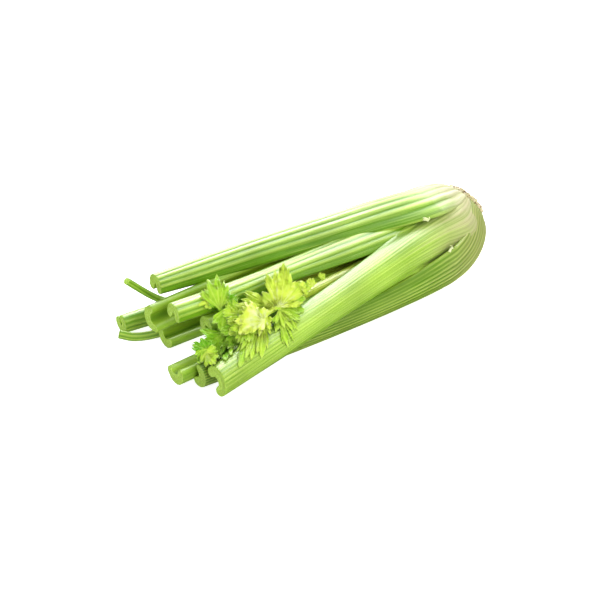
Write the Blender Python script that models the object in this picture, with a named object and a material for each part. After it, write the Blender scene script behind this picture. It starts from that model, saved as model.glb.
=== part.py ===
"""A trimmed head of celery lying on its side.

The root crown is at the +X end and the cut tops are at the -X end. Every stalk is a loft of
crescent sections: near the crown the crescents are wide sheaths that wrap round the middle of
the head in layers, and towards the tops they curl into narrow channels that splay apart. Thin
side stems, heart stalks and leaves lie between and on the stalks. The head is laid out straight,
and its root end is then curled up off the floor.

Run it with blender --background --python part.py. Lengths in the tables are millimetres.
"""

import math
from dataclasses import dataclass

import bmesh
import bpy
import numpy as np
from mathutils import Vector
from mathutils.bvhtree import BVHTree

MM = 0.001
COLLECTION = "celery_head"

# The whole head
HEAD_SHIFT = (-4.2, -11.4, -0.51)  # puts the middle of the head's box over the origin
CROWN_X = 150.0  # where the outer sheaths start
SHOULDER_X = 90.0  # where the head is thickest
CROWN_AXIS_Y = -3.0  # y of the middle of the head at the crown
SHOULDER_AXIS_Y = -13.5  # y of it at the shoulder
AXIS_Z = 43.0  # its height, before the root end is curled up
CURL_X = 105.0  # where the curl starts
CURL_RADIUS = 76.0


@dataclass(frozen=True)
class Layer:
    """A ring of sheaths round the crown."""

    start_x: float
    crown_radius: float
    shoulder_radius: float
    thickness: float


LAYERS = (
    Layer(149.0, 16.5, 42.5, 10.0),
    Layer(142.5, 15.5, 31.0, 9.0),
    Layer(136.0, 13.0, 20.5, 7.5),
    Layer(128.0, 7.0, 11.5, 5.5),
)
DOME = 2.05  # how square the layers' shoulders are
CROWN_THINNING = 0.45  # a sheath's thickness at the crown over its thickness at the shoulder


@dataclass(frozen=True)
class Stalk:
    """One stalk: where its sheath sits round the crown, and where its cut top ends up.

    turn is the way that its ribbed back faces, in degrees from straight up towards the front.
    end is the middle of its back at the cut. half_angle is how far round the sheath reaches to
    each side of turn, bow is how far y and z swing out on the way, and twist is added to turn at
    the crown. closing is how many degrees more the section closes on each side near the cut.
    """

    name: str
    layer: int
    turn: float
    half_angle: float
    end: tuple
    end_turn: float
    end_radius: float
    mid_radius: float
    end_half_angle: float = 96.0
    end_thickness: float = 9.0
    bow: tuple = (0.0, 0.0)
    twist: float = 0.0
    closing: float = 0.0


STALKS = (
    Stalk("outer_stalk_top", 0, -20.0, 55.0, (-125, 48.5, 59), 2.0, 8.8, 20.0,
          end_half_angle=102.0, bow=(4.0, 1.0), closing=38.0),
    Stalk("outer_stalk_front", 0, 129.0, 55.0, (-138, -34, 9.2), 108.0, 10.0, 15.0,
          bow=(3.0, -6.0), twist=-30.0, closing=14.0),
    Stalk("outer_stalk_back", 0, 235.0, 45.0, (-142, 71.4, 1.7), 150.0, 8.2, 14.0,
          twist=-14.0, closing=50.0),
    Stalk("inner_stalk_front", 1, 54.0, 42.0, (-136, -55, 25), 50.0, 12.0, 16.0,
          end_half_angle=86.0, end_thickness=10.5, bow=(0.0, -3.0), closing=46.0),
    Stalk("inner_stalk_underside", 1, 178.0, 49.0, (-148, -12, 0.85), 165.0, 10.5, 12.5,
          closing=10.0),
    Stalk("inner_stalk_back", 1, 296.0, 52.0, (-138, 45.5, 27.0), 248.0, 11.0, 10.8,
          end_thickness=7.5, bow=(1.4, -1.0), closing=20.0),
    Stalk("inner_stalk_top", 2, -4.0, 46.0, (-132, 13.4, 52.1), 6.0, 8.6, 12.0, closing=36.0),
    Stalk("inner_stalk_low", 2, 226.0, 38.0, (-128, 37.2, 3.1), 200.0, 9.5, 10.5,
          bow=(0.4, 0.3), closing=14.0),
    Stalk("inner_stalk_middle", 2, 112.0, 46.0, (-112, 8.7, 35.2), 300.0, 8.3, 10.0,
          bow=(1.0, -3.0), closing=50.0),
    Stalk("heart_stalk_front", 3, 20.0, 40.0, (-50, -29, 49), 30.0, 4.0, 6.0,
          end_half_angle=80.0, end_thickness=4.5, bow=(1.5, -3.0)),
    Stalk("heart_stalk_back", 3, 285.0, 40.0, (-70, 18, 27), 290.0, 4.5, 6.0,
          end_half_angle=80.0, end_thickness=4.5),
    Stalk("heart_stalk_low", 3, 190.0, 38.0, (-84, 4, 16), 200.0, 4.5, 5.5,
          end_half_angle=80.0, end_thickness=4.5, bow=(4.0, 0.0)),
)

ARC_POINTS = 11  # points along the back of a section
LIP_POINTS = 2  # points round each lip
HOLLOW_POINTS = 7  # points along its hollow side
LIP_SHARE = 0.45  # thickness at the lips over thickness in the middle
LEAST_HOLLOW = 0.1  # the least reach of the hollow side over the radius
SHEATH_STATIONS = 7
STEM_STATIONS = 11
STATION_SPREAD = 1.35  # over 1 sets the stations closer together near the shoulder
SLIM_RUN = 0.13  # share of the way to the top over which a sheath narrows to a stem
CURL_IN_RUN = 0.30  # the same for how far its section closes
THIN_RUN = 0.5  # the same for its thickness
CLOSING_START = 0.5  # share of the way to the top from which a section closes further
BOW_PEAK = 0.7  # under 1 puts the most bowed place nearer to the shoulder
STRAIGHT_RUN = 0.12  # the same for the bend out of the shoulder
AXIS_SWEEP = 1.5  # how late the middle of the head swings over to the crown

# The root crown as (x, radius), from the trimmed root face inwards
CROWN_PROFILE = (
    (154.6, 11.5), (154.0, 14.0), (152.6, 15.4), (150.8, 15.4), (149.9, 13.5), (149.4, 11.2),
    (143.0, 10.8), (136.5, 9.0), (129.0, 4.0), (122.0, 2.0),
)
CROWN_SIDES = 28


def blend(first, last, share):
    """The value that lies share of the way from first to last."""
    return first + (last - first) * share


def smooth(share):
    """A share held between 0 and 1 that leaves and arrives gently."""
    held = min(max(share, 0.0), 1.0)
    return held * held * (3.0 - 2.0 * held)


def head_axis(x):
    """y and z of the middle of the straight head at x, for the layers of sheaths."""
    share = np.clip((x - SHOULDER_X) / (CROWN_X - SHOULDER_X), 0.0, 1.0)
    return blend(SHOULDER_AXIS_Y, CROWN_AXIS_Y, share**AXIS_SWEEP), AXIS_Z


def curled(points):
    """The points of the straight head with its root end bent upwards round a circle."""
    points = np.asarray(points, float)
    angle = np.maximum(points[..., 0] - CURL_X, 0.0) / CURL_RADIUS
    reach = CURL_RADIUS - (points[..., 2] - AXIS_Z)
    x = np.minimum(points[..., 0], CURL_X) + reach * np.sin(angle)
    z = AXIS_Z + CURL_RADIUS - reach * np.cos(angle)
    return np.stack((x, points[..., 1], z), axis=-1)


def facing(turn):
    """Unit vectors in the YZ plane: the way a back faces, and the way across it."""
    angle = math.radians(turn)
    out = np.array((-math.sin(angle), math.cos(angle)))
    return out, np.array((-math.cos(angle), -math.sin(angle)))


def eased(share):
    """A share that starts off level and soon runs straight, from 0 to 1."""
    late = STRAIGHT_RUN * (1.0 - np.exp(-np.array((share, 1.0)) / STRAIGHT_RUN))
    return (share - late[0]) / (1.0 - late[1])


def crescent(centre, turn, radius, half_angle, thickness):
    """Outline of one section in the YZ plane: an arc for the back, round lips and a hollow."""
    out, across = facing(turn)
    half = math.radians(half_angle)
    lip = 0.5 * LIP_SHARE * thickness
    bend = half - lip / radius
    back = np.linspace(-bend, bend, ARC_POINTS)
    round_lip = np.linspace(0.0, math.pi, LIP_POINTS + 2)[1:-1]
    hollow = np.linspace(bend, -bend, HOLLOW_POINTS)
    wall = thickness * blend(LIP_SHARE, 1.0, 1.0 - (hollow / bend) ** 2)
    inside = np.maximum(radius - wall, LEAST_HOLLOW * radius)
    lip_reach = radius - lip + lip * np.cos(round_lip)
    lip_angle = bend + lip * np.sin(round_lip) / (radius - lip)
    reach = np.concatenate((np.full(ARC_POINTS, radius), lip_reach, inside, lip_reach[::-1]))
    angle = np.concatenate((back, lip_angle, hollow, -lip_angle[::-1]))
    spread = np.outer(reach * np.cos(angle), out) + np.outer(reach * np.sin(angle), across)
    return np.asarray(centre) + spread


def sheath_section(stalk, x):
    """Centre, turn, radius, half angle and thickness where the stalk is part of a layer."""
    layer = LAYERS[stalk.layer]
    rise = np.clip((layer.start_x - x) / (layer.start_x - SHOULDER_X), 0.0, 1.0)
    dome = (1.0 - (1.0 - rise) ** DOME) ** (1.0 / DOME)
    radius = blend(layer.crown_radius, layer.shoulder_radius, dome)
    thickness = blend(CROWN_THINNING, 1.0, dome) * layer.thickness
    turn = stalk.turn + stalk.twist * (1.0 - rise)
    return head_axis(x), turn, radius, stalk.half_angle, thickness


def stem_section(stalk, share):
    """The same where it runs free from the shoulder, share 0, to its cut top, share 1."""
    centre, turn, radius, half_angle, thickness = sheath_section(stalk, SHOULDER_X)
    start = np.asarray(centre) + radius * facing(turn)[0]
    run = eased(share)
    bow = np.asarray(stalk.bow) * math.sin(math.pi * share**BOW_PEAK)
    back = blend(start, np.asarray(stalk.end[1:], float), run) + bow
    slim = math.exp(-share / SLIM_RUN)
    curl = blend(stalk.mid_radius, stalk.end_radius, share)
    new_radius = curl + (radius - stalk.mid_radius) * slim
    new_half = blend(stalk.end_half_angle, half_angle, math.exp(-share / CURL_IN_RUN))
    new_half += stalk.closing * smooth((share - CLOSING_START) / (1.0 - CLOSING_START))
    new_thickness = blend(stalk.end_thickness, thickness, math.exp(-share / THIN_RUN))
    new_turn = blend(turn, stalk.end_turn, smooth(share))
    centre = back - new_radius * facing(new_turn)[0]
    return centre, new_turn, new_radius, new_half, new_thickness


def sections(stalk):
    """Every section of a straight stalk as (x, outline), from the crown to the cut top."""
    start_x = LAYERS[stalk.layer].start_x
    rows = []
    for step in range(SHEATH_STATIONS):
        angle = 0.5 * math.pi * step / SHEATH_STATIONS
        x = blend(start_x, SHOULDER_X, 1.0 - math.cos(angle))
        rows.append((x, crescent(*sheath_section(stalk, x))))
    for step in range(STEM_STATIONS):
        share = (step / (STEM_STATIONS - 1)) ** STATION_SPREAD
        x = blend(SHOULDER_X, stalk.end[0], share)
        rows.append((x, crescent(*stem_section(stalk, share))))
    return rows


def crown_sections():
    """The root crown's rings in the same form."""
    angle = np.arange(CROWN_SIDES) * 2.0 * math.pi / CROWN_SIDES
    ring = np.stack((np.sin(angle), np.cos(angle)), axis=-1)
    return [(x, np.asarray(head_axis(x)) + radius * ring) for x, radius in CROWN_PROFILE]


def loft(rows):
    """Corners and faces of the closed body through a run of outlines."""
    grid = np.array([[(x, y, z) for y, z in outline] for x, outline in rows])
    count, around = grid.shape[:2]
    corners = curled(grid).reshape(-1, 3)
    index = np.arange(count * around).reshape(count, around)
    after = np.roll(index, -1, axis=1)
    sides = np.stack((index[:-1], index[1:], after[1:], after[:-1]), axis=-1).reshape(-1, 4)
    return corners, [*sides.tolist(), index[0][::-1].tolist(), index[-1].tolist()]


@dataclass(frozen=True)
class Leaf:
    """A leaf that runs from base to tip over the stalks.

    up is the way its upper side looks. arch is how far its middle rises above the straight line,
    and cup how far its sides fall away. lobes is how many pairs of lobes its outline has.
    """

    name: str
    base: tuple
    tip: tuple
    up: tuple
    width: float
    arch: float = 3.0
    cup: float = 3.0
    lobes: float = 1.5


LEAVES = (
    Leaf("leaf_middle", (-58, -29, 45), (-47, -2, 61), (-5, -7, 5), 36.0),
    Leaf("leaf_hanging", (-62, -36, 46), (-80, -60, 31), (-4, -8, 6), 22.0),
    Leaf("leaf_left", (-66, -21, 47), (-88, -2, 49), (-3, -4, 8), 22.0),
    Leaf("leaf_curled", (-79, -31, 47), (-99, -10, 49), (-4, -5, 7), 17.0),
    Leaf("leaf_drooping", (-91, -34, 41), (-115, -52, 26), (-6, -7, 5), 22.0),
    Leaf("leaf_low", (-102, -8, 43), (-128, -20, 25), (-5, -6, 6), 20.0),
    Leaf("leaf_small", (-114, -24, 28), (-134, -19, 24), (-5, -6, 6), 12.0),
    Leaf("leaf_back", (-102, -1, 47), (-90, 12, 61), (-5, -7, 6), 26.0),
)
LEAF_ROWS = 12
LEAF_COLUMNS = 7
LEAF_THICKNESS = 0.8
LEAF_ROOT = 0.04  # over 0 and under 1, so that neither end of a leaf comes to a point
LEAF_TOP = 0.97
LEAF_WIDEST = 0.8  # under 1 puts the widest place nearer to the base
LOBE_DEPTH = 0.3
LEAF_CLEARANCE = 1.8  # from the stalk underneath to the middle of the leaf
LEAF_REACH = 12.0  # how far a point may be raised to get there
LEAF_FEELER = 3.0  # how far round each point of a leaf the stalks are felt for
EVENING_STEPS = 24  # times that a leaf's rises are evened out
FEELER_TURNS = tuple(math.radians(45.0 * step) for step in range(8))


@dataclass(frozen=True)
class Stem:
    """A thin round side stem through these points."""

    name: str
    points: tuple
    root_radius: float
    tip_radius: float


STEMS = (
    Stem("side_stem_high", ((-20, 38, 32), (-60, 39, 28), (-84, 44, 24), (-100, 51, 21),
         (-113, 64, 24.5), (-128, 62.8, 39.3), (-143, 59.8, 54.6)), 2.8, 2.3),
    Stem("side_stem_low", ((-60, 42, 4.6), (-100, 49, 4.4), (-126, 53, 4.2), (-140, 59, 4.0),
         (-149, 64.4, 4.4)), 3.5, 3.2),
)
STEM_STEPS = 4  # rings between two of its points


def leaf_grid(leaf):
    """The middle surface of a leaf as a grid of points."""
    base, tip, up = (np.array(v, float) for v in (leaf.base, leaf.tip, leaf.up))
    along = tip - base
    side = np.cross(up, along)
    side /= np.linalg.norm(side)
    up = np.cross(along, side)
    up /= np.linalg.norm(up)
    share = np.linspace(0.0, 1.0, LEAF_ROWS)[:, None]
    across = np.linspace(-1.0, 1.0, LEAF_COLUMNS)[None, :]
    swell = np.sin(np.pi * blend(LEAF_ROOT, LEAF_TOP, share) ** LEAF_WIDEST)
    lobed = 1.0 - LOBE_DEPTH * np.cos(2.0 * np.pi * leaf.lobes * share)
    half = 0.5 * leaf.width * swell * lobed
    lift = leaf.arch * 4.0 * share * (1.0 - share) - leaf.cup * across**2 * swell
    return (
        base
        + along * share[..., None]
        + side * (half * across)[..., None]
        + up * np.broadcast_to(lift, half.shape[:1] + across.shape[1:])[..., None]
    )


class Pile:
    """Everything that a new leaf has to lie on."""

    def __init__(self):
        self.corners = []
        self.faces = []

    def add(self, corners, faces):
        """Puts one more body on the pile."""
        self.faces += [[corner + len(self.corners) for corner in face] for face in faces]
        self.corners += corners.tolist()

    def tree(self):
        """The pile in a form that rays can be cast at."""
        return BVHTree.FromPolygons(self.corners, self.faces)


def lifted(grid, under):
    """The grid raised clear of what is under it, by feeling round it, with the rises evened out."""
    feelers = [(LEAF_FEELER * math.sin(a), LEAF_FEELER * math.cos(a)) for a in FEELER_TURNS]
    least = np.zeros(grid.shape[:2])
    for row, column in np.ndindex(least.shape):
        point = grid[row, column]
        for x, y in [(0.0, 0.0), *feelers]:
            start = Vector((point[0] + x, point[1] + y, point[2] + LEAF_REACH))
            hit = under.ray_cast(start, Vector((0.0, 0.0, -1.0)), LEAF_REACH + LEAF_CLEARANCE)[0]
            if hit is not None:
                least[row, column] = max(least[row, column], hit.z + LEAF_CLEARANCE - point[2])
    rise = least
    for _ in range(EVENING_STEPS):
        near = np.pad(rise, 1, mode="edge")
        sides = near[:-2, 1:-1] + near[2:, 1:-1] + near[1:-1, :-2] + near[1:-1, 2:]
        rise = np.maximum(least, 0.25 * sides)
    grid[..., 2] += rise
    return grid


def leaf_solid(grid):
    """Corners and faces of the closed body round a leaf's middle surface."""
    run, row = np.gradient(grid, axis=0), np.gradient(grid, axis=1)
    normal = np.cross(run, row)
    normal *= 0.5 * LEAF_THICKNESS / np.linalg.norm(normal, axis=-1, keepdims=True)
    corners = np.concatenate((grid + normal, grid - normal)).reshape(-1, 3)
    index = np.arange(grid[..., 0].size).reshape(grid.shape[:2])
    quads = np.stack((index[:-1, :-1], index[1:, :-1], index[1:, 1:], index[:-1, 1:]), axis=-1)
    quads = quads.reshape(-1, 4)
    rim = np.concatenate((index[0], index[1:, -1], index[-1, -2::-1], index[-2:0:-1, 0]))
    after = np.roll(rim, -1)
    rims = np.stack((rim, after, after + index.size, rim + index.size), axis=-1)
    faces = np.concatenate((quads, quads[:, ::-1] + index.size, rims))
    return corners, faces.tolist()


def stop_if_open(name, mesh):
    """Stops the run where a mesh has an edge that isn't shared by two faces."""
    if any(not edge.is_manifold for edge in mesh.edges):
        raise ValueError(f"{name} isn't closed")


def make_material(name, colour, roughness):
    """A Principled material."""
    material = bpy.data.materials.new(name)
    material.use_nodes = True
    shader = material.node_tree.nodes["Principled BSDF"]
    shader.inputs["Base Color"].default_value = (*colour, 1.0)
    shader.inputs["Roughness"].default_value = roughness
    shader.inputs["Metallic"].default_value = 0.0
    return material


def stem_line(stem):
    """Points along a side stem's middle, on a smooth curve through its given points."""
    given = np.array(stem.points, float)
    ends = np.concatenate((2.0 * given[:1] - given[1:2], given, 2.0 * given[-1:] - given[-2:-1]))
    line = []
    for before, first, last, after in zip(ends, ends[1:], ends[2:], ends[3:]):
        for t in np.arange(STEM_STEPS) / STEM_STEPS:
            pull = 0.5 * ((last - before) * (t - 2 * t**2 + t**3) + (after - first) * (t**3 - t**2))
            line.append(first * (1 - 3 * t**2 + 2 * t**3) + last * (3 * t**2 - 2 * t**3) + pull)
    return np.array([*line, given[-1]])


def stem_curve(stem):
    """A side stem as a bevelled curve with its ends filled."""
    line = (stem_line(stem) + HEAD_SHIFT) * MM
    data = bpy.data.curves.new(stem.name, "CURVE")
    data.dimensions = "3D"
    data.bevel_depth = stem.root_radius * MM
    data.bevel_resolution = 2
    data.use_fill_caps = True
    spline = data.splines.new("POLY")
    spline.points.add(len(line) - 1)
    for share, point, place in zip(np.linspace(0.0, 1.0, len(line)), spline.points, line):
        point.co = (*place.tolist(), 1.0)
        point.radius = blend(1.0, stem.tip_radius / stem.root_radius, share)
    return data


def add_object(name, data, material, collection):
    """Links a new object that holds this mesh or curve."""
    data.materials.append(material)
    made = bpy.data.objects.new(name, data)
    collection.objects.link(made)
    return made


def solid_mesh(name, corners, faces):
    """A closed mesh whose faces all look outwards."""
    data = bpy.data.meshes.new(name)
    data.from_pydata(((corners + HEAD_SHIFT) * MM).tolist(), [], faces)
    body = bmesh.new()
    body.from_mesh(data)
    bmesh.ops.recalc_face_normals(body, faces=body.faces)
    stop_if_open(name, body)
    body.to_mesh(data)
    body.free()
    return data


def main():
    """Builds the head."""
    for old in list(bpy.data.objects):
        bpy.data.objects.remove(old, do_unlink=True)
    collection = bpy.data.collections.new(COLLECTION)
    bpy.context.scene.collection.children.link(collection)

    crown = make_material("crown_cream", (0.80, 0.74, 0.52), 0.55)
    green = make_material("stalk_green", (0.45, 0.60, 0.18), 0.35)
    heart = make_material("heart_pale", (0.66, 0.72, 0.32), 0.40)
    leaf = make_material("leaf_lime", (0.42, 0.62, 0.08), 0.50)

    add_object("root_crown", solid_mesh("root_crown", *loft(crown_sections())), crown, collection)
    below = Pile()
    for stalk in STALKS:
        body = loft(sections(stalk))
        material = heart if stalk.layer == len(LAYERS) - 1 else green
        add_object(stalk.name, solid_mesh(stalk.name, *body), material, collection)
        below.add(*body)
    for stem in STEMS:
        add_object(stem.name, stem_curve(stem), green, collection)
    for item in LEAVES:
        body = leaf_solid(lifted(leaf_grid(item), below.tree()))
        add_object(item.name, solid_mesh(item.name, *body), leaf, collection)
        below.add(*body)


if __name__ == "__main__":
    main()
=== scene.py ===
"""The looks of a trimmed head of celery that lies on its side.

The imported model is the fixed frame: its root crown is at the +X end and its cut tops are at the
-X end. Each stalk, stem and leaf of it is replaced by a finer surface in the same place. The
stalks follow the frame's own formulas, with ribs, rounded cut edges and strands added. Lengths in
the tables are millimetres, and the meshes are in metres.
"""

import sys

import logging
import math
from dataclasses import dataclass, replace
from enum import Enum

import bmesh
import bpy
import numpy as np
from mathutils import Matrix, Vector


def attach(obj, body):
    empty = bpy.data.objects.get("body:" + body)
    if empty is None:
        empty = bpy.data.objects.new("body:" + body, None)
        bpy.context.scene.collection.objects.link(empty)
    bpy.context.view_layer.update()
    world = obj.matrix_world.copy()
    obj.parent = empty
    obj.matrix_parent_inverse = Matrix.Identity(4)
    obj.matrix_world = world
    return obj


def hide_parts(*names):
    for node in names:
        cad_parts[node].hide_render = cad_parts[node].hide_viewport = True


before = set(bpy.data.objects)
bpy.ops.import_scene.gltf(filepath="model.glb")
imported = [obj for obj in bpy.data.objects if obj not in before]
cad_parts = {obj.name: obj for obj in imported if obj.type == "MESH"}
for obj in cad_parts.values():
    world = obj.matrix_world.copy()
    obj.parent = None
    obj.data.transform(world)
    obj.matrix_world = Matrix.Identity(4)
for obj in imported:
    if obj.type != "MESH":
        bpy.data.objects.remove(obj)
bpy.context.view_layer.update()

log = logging.getLogger("celery")

MM = 0.001
BODY = "root"

# The whole head
HEAD_SHIFT = np.array((-4.2, -11.4, -0.51))  # puts the middle of the head's box over the origin
CROWN_X = 150.0  # where the outer sheaths start
SHOULDER_X = 90.0  # where the head is thickest
CROWN_AXIS_Y = -3.0
SHOULDER_AXIS_Y = -13.5
AXIS_Z = 43.0
AXIS_SWEEP = 1.5  # how late the middle of the head swings over to the crown
CURL_X = 105.0  # where the root end starts to curl up
CURL_RADIUS = 76.0


Number = float | np.ndarray


def blend(first: Number, last: Number, share: Number) -> Number:
    """The value that lies share of the way from first to last."""
    return first + (last - first) * share


def smooth(share: Number) -> Number:
    """A share held between 0 and 1 that leaves and arrives gently: 3 s squared - 2 s cubed."""
    held = np.clip(share, 0.0, 1.0)
    return held * held * (3.0 - 2.0 * held)


def head_axis(x: np.ndarray) -> tuple[np.ndarray, np.ndarray]:
    """y and z of the middle of the straight head at x.

    Args:
        x: places along the head.

    Returns:
        y, which swings from the shoulder's to the crown's with a power of the share, and z.
    """
    share = np.clip((x - SHOULDER_X) / (CROWN_X - SHOULDER_X), 0.0, 1.0)
    return blend(SHOULDER_AXIS_Y, CROWN_AXIS_Y, share**AXIS_SWEEP), np.full_like(share, AXIS_Z)


def curled(points: np.ndarray) -> np.ndarray:
    """The points of the straight head with its root end bent up round a circle.

    Past CURL_X, the length along the head becomes an angle about an axis that runs in y,
    CURL_RADIUS above the middle of the head.

    Args:
        points: places in the straight head, xyz last.

    Returns:
        The same places in the curled head.
    """
    angle = np.maximum(points[..., 0] - CURL_X, 0.0) / CURL_RADIUS
    reach = CURL_RADIUS - (points[..., 2] - AXIS_Z)
    x = np.minimum(points[..., 0], CURL_X) + reach * np.sin(angle)
    z = AXIS_Z + CURL_RADIUS - reach * np.cos(angle)
    return np.stack((x, points[..., 1], z), axis=-1)


def facing(turn: np.ndarray) -> tuple[np.ndarray, np.ndarray]:
    """Unit vectors in the YZ plane: the way a back faces, and the way across it.

    Args:
        turn: degrees from straight up towards the front.

    Returns:
        (-sin, cos) and (-cos, -sin) of the turn, on a last axis of y and z.
    """
    angle = np.radians(turn)
    out = np.stack((-np.sin(angle), np.cos(angle)), axis=-1)
    return out, np.stack((-np.cos(angle), -np.sin(angle)), axis=-1)


def grain(points: np.ndarray, size: float, seed: int) -> np.ndarray:
    """Smooth noise: one random value at each corner of a cubic lattice, eased between corners.

    Args:
        points: where to read it, xyz last.
        size: the lattice's pitch, in the points' own unit.
        seed: which noise.

    Returns:
        A value from -1 to 1 for each point.
    """
    cell = points / size
    low = np.floor(cell).astype(np.int64)
    part = smooth(cell - low)
    total = np.zeros(points.shape[:-1])
    for corner in np.ndindex(2, 2, 2):
        step = np.array(corner)
        key = ((low + step) * (73856093, 19349663, 83492791)).sum(axis=-1) + 7919 * seed
        key = ((key ^ (key >> 13)) * 1274126177) & 0x7FFFFFFF
        key = ((key ^ (key >> 15)) * 668265263) & 0x7FFFFFFF
        value = ((key >> 7) & 0xFFFF) / 32767.5 - 1.0
        total += value * np.where(step == 1, part, 1.0 - part).prod(axis=-1)
    return total


class Skin:
    """Grid surfaces gathered into one mesh in the frame's place."""

    def __init__(self, name: str) -> None:
        """Starts an empty skin for the piece of this name."""
        self.name = name
        self.corners: list[np.ndarray] = []
        self.quads: list[np.ndarray] = []
        self.uvs: list[np.ndarray] = []
        self.marks: dict[str, list[np.ndarray]] = {}
        self.count = 0

    def add(
        self, grid: np.ndarray, uv: np.ndarray | None = None, wrap: bool = False,
        **marks: np.ndarray,
    ) -> None:
        """Adds one grid of points, joined to quads between neighbouring rows and columns.

        Args:
            grid: rows x columns x 3, in millimetres of the frame.
            uv: the same with 2, and one column more where the grid wraps round.
            wrap: whether the last column joins the first.
            marks: a value for each point under each mark's name.
        """
        rows, columns = grid.shape[:2]
        index = np.arange(rows * columns).reshape(rows, columns)
        if wrap:
            index = np.concatenate((index, index[:, :1]), axis=1)
        around = (slice(None, -1), slice(None, -1)), (slice(1, None), slice(None, -1))
        around += (slice(1, None), slice(1, None)), (slice(None, -1), slice(1, None))
        quads = np.stack([index[part] for part in around], axis=-1).reshape(-1, 4)
        if uv is None:
            uv = np.zeros((*index.shape, 2))
        self.uvs.append(np.stack([uv[part] for part in around], axis=2).reshape(-1, 2))
        self.quads.append(quads + self.count)
        self.corners.append(grid.reshape(-1, 3))
        for name in self.marks | marks:
            value = np.broadcast_to(marks.get(name, 0.0), (rows, columns)).reshape(-1)
            self.marks.setdefault(name, [np.zeros(self.count)]).append(value)
        self.count += rows * columns

    def points(self) -> np.ndarray:
        """Every point so far, in millimetres of the frame."""
        return np.concatenate(self.corners)

    def build(self, material: bpy.types.Material) -> bpy.types.Object:
        """Makes the object: its doubles merged, its faces outwards and smooth.

        Args:
            material: the finish.

        Returns:
            The object, linked to the scene.
        """
        mesh = bpy.data.meshes.new(self.name)
        mesh.from_pydata(self.points() * MM, [], np.concatenate(self.quads))
        mesh.uv_layers.new(name="run").data.foreach_set("uv", np.concatenate(self.uvs).ravel())
        for name, parts in self.marks.items():
            mesh.attributes.new(name, "FLOAT", "POINT").data.foreach_set(
                "value", np.concatenate(parts).astype(np.float32)
            )
        body = bmesh.new()
        body.from_mesh(mesh)
        bmesh.ops.remove_doubles(body, verts=body.verts, dist=2e-6)
        bmesh.ops.recalc_face_normals(body, faces=body.faces)
        body.to_mesh(mesh)
        body.free()
        mesh.shade_smooth()
        mesh.materials.append(material)
        made = bpy.data.objects.new(self.name, mesh)
        bpy.context.scene.collection.objects.link(made)
        return made


class Slot(Enum):
    """The record's material slots."""

    CROWN = "crown"
    STALK = "stalk"
    HEART = "heart"
    LEAF = "leaf"


def settle(piece: bpy.types.Object, node: str | None = None) -> None:
    """Ties a finished piece to the frame, and reports it.

    Args:
        piece: the new piece.
        node: the frame's node that it stands for, if any.
    """
    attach(piece, BODY)
    if node is not None:
        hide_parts(node)
    log.info("%s: %d faces", piece.name, len(piece.data.polygons))


# ---------------------------------------------------------------- finishes


def colour(code: str) -> tuple[float, float, float, float]:
    """A screen colour such as "8ab82a" as linear light."""
    parts = [int(code[at : at + 2], 16) / 255.0 for at in (0, 2, 4)]
    return (*[c / 12.92 if c <= 0.04045 else ((c + 0.055) / 1.055) ** 2.4 for c in parts], 1.0)


Feed = bpy.types.NodeSocket | float | tuple


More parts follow.
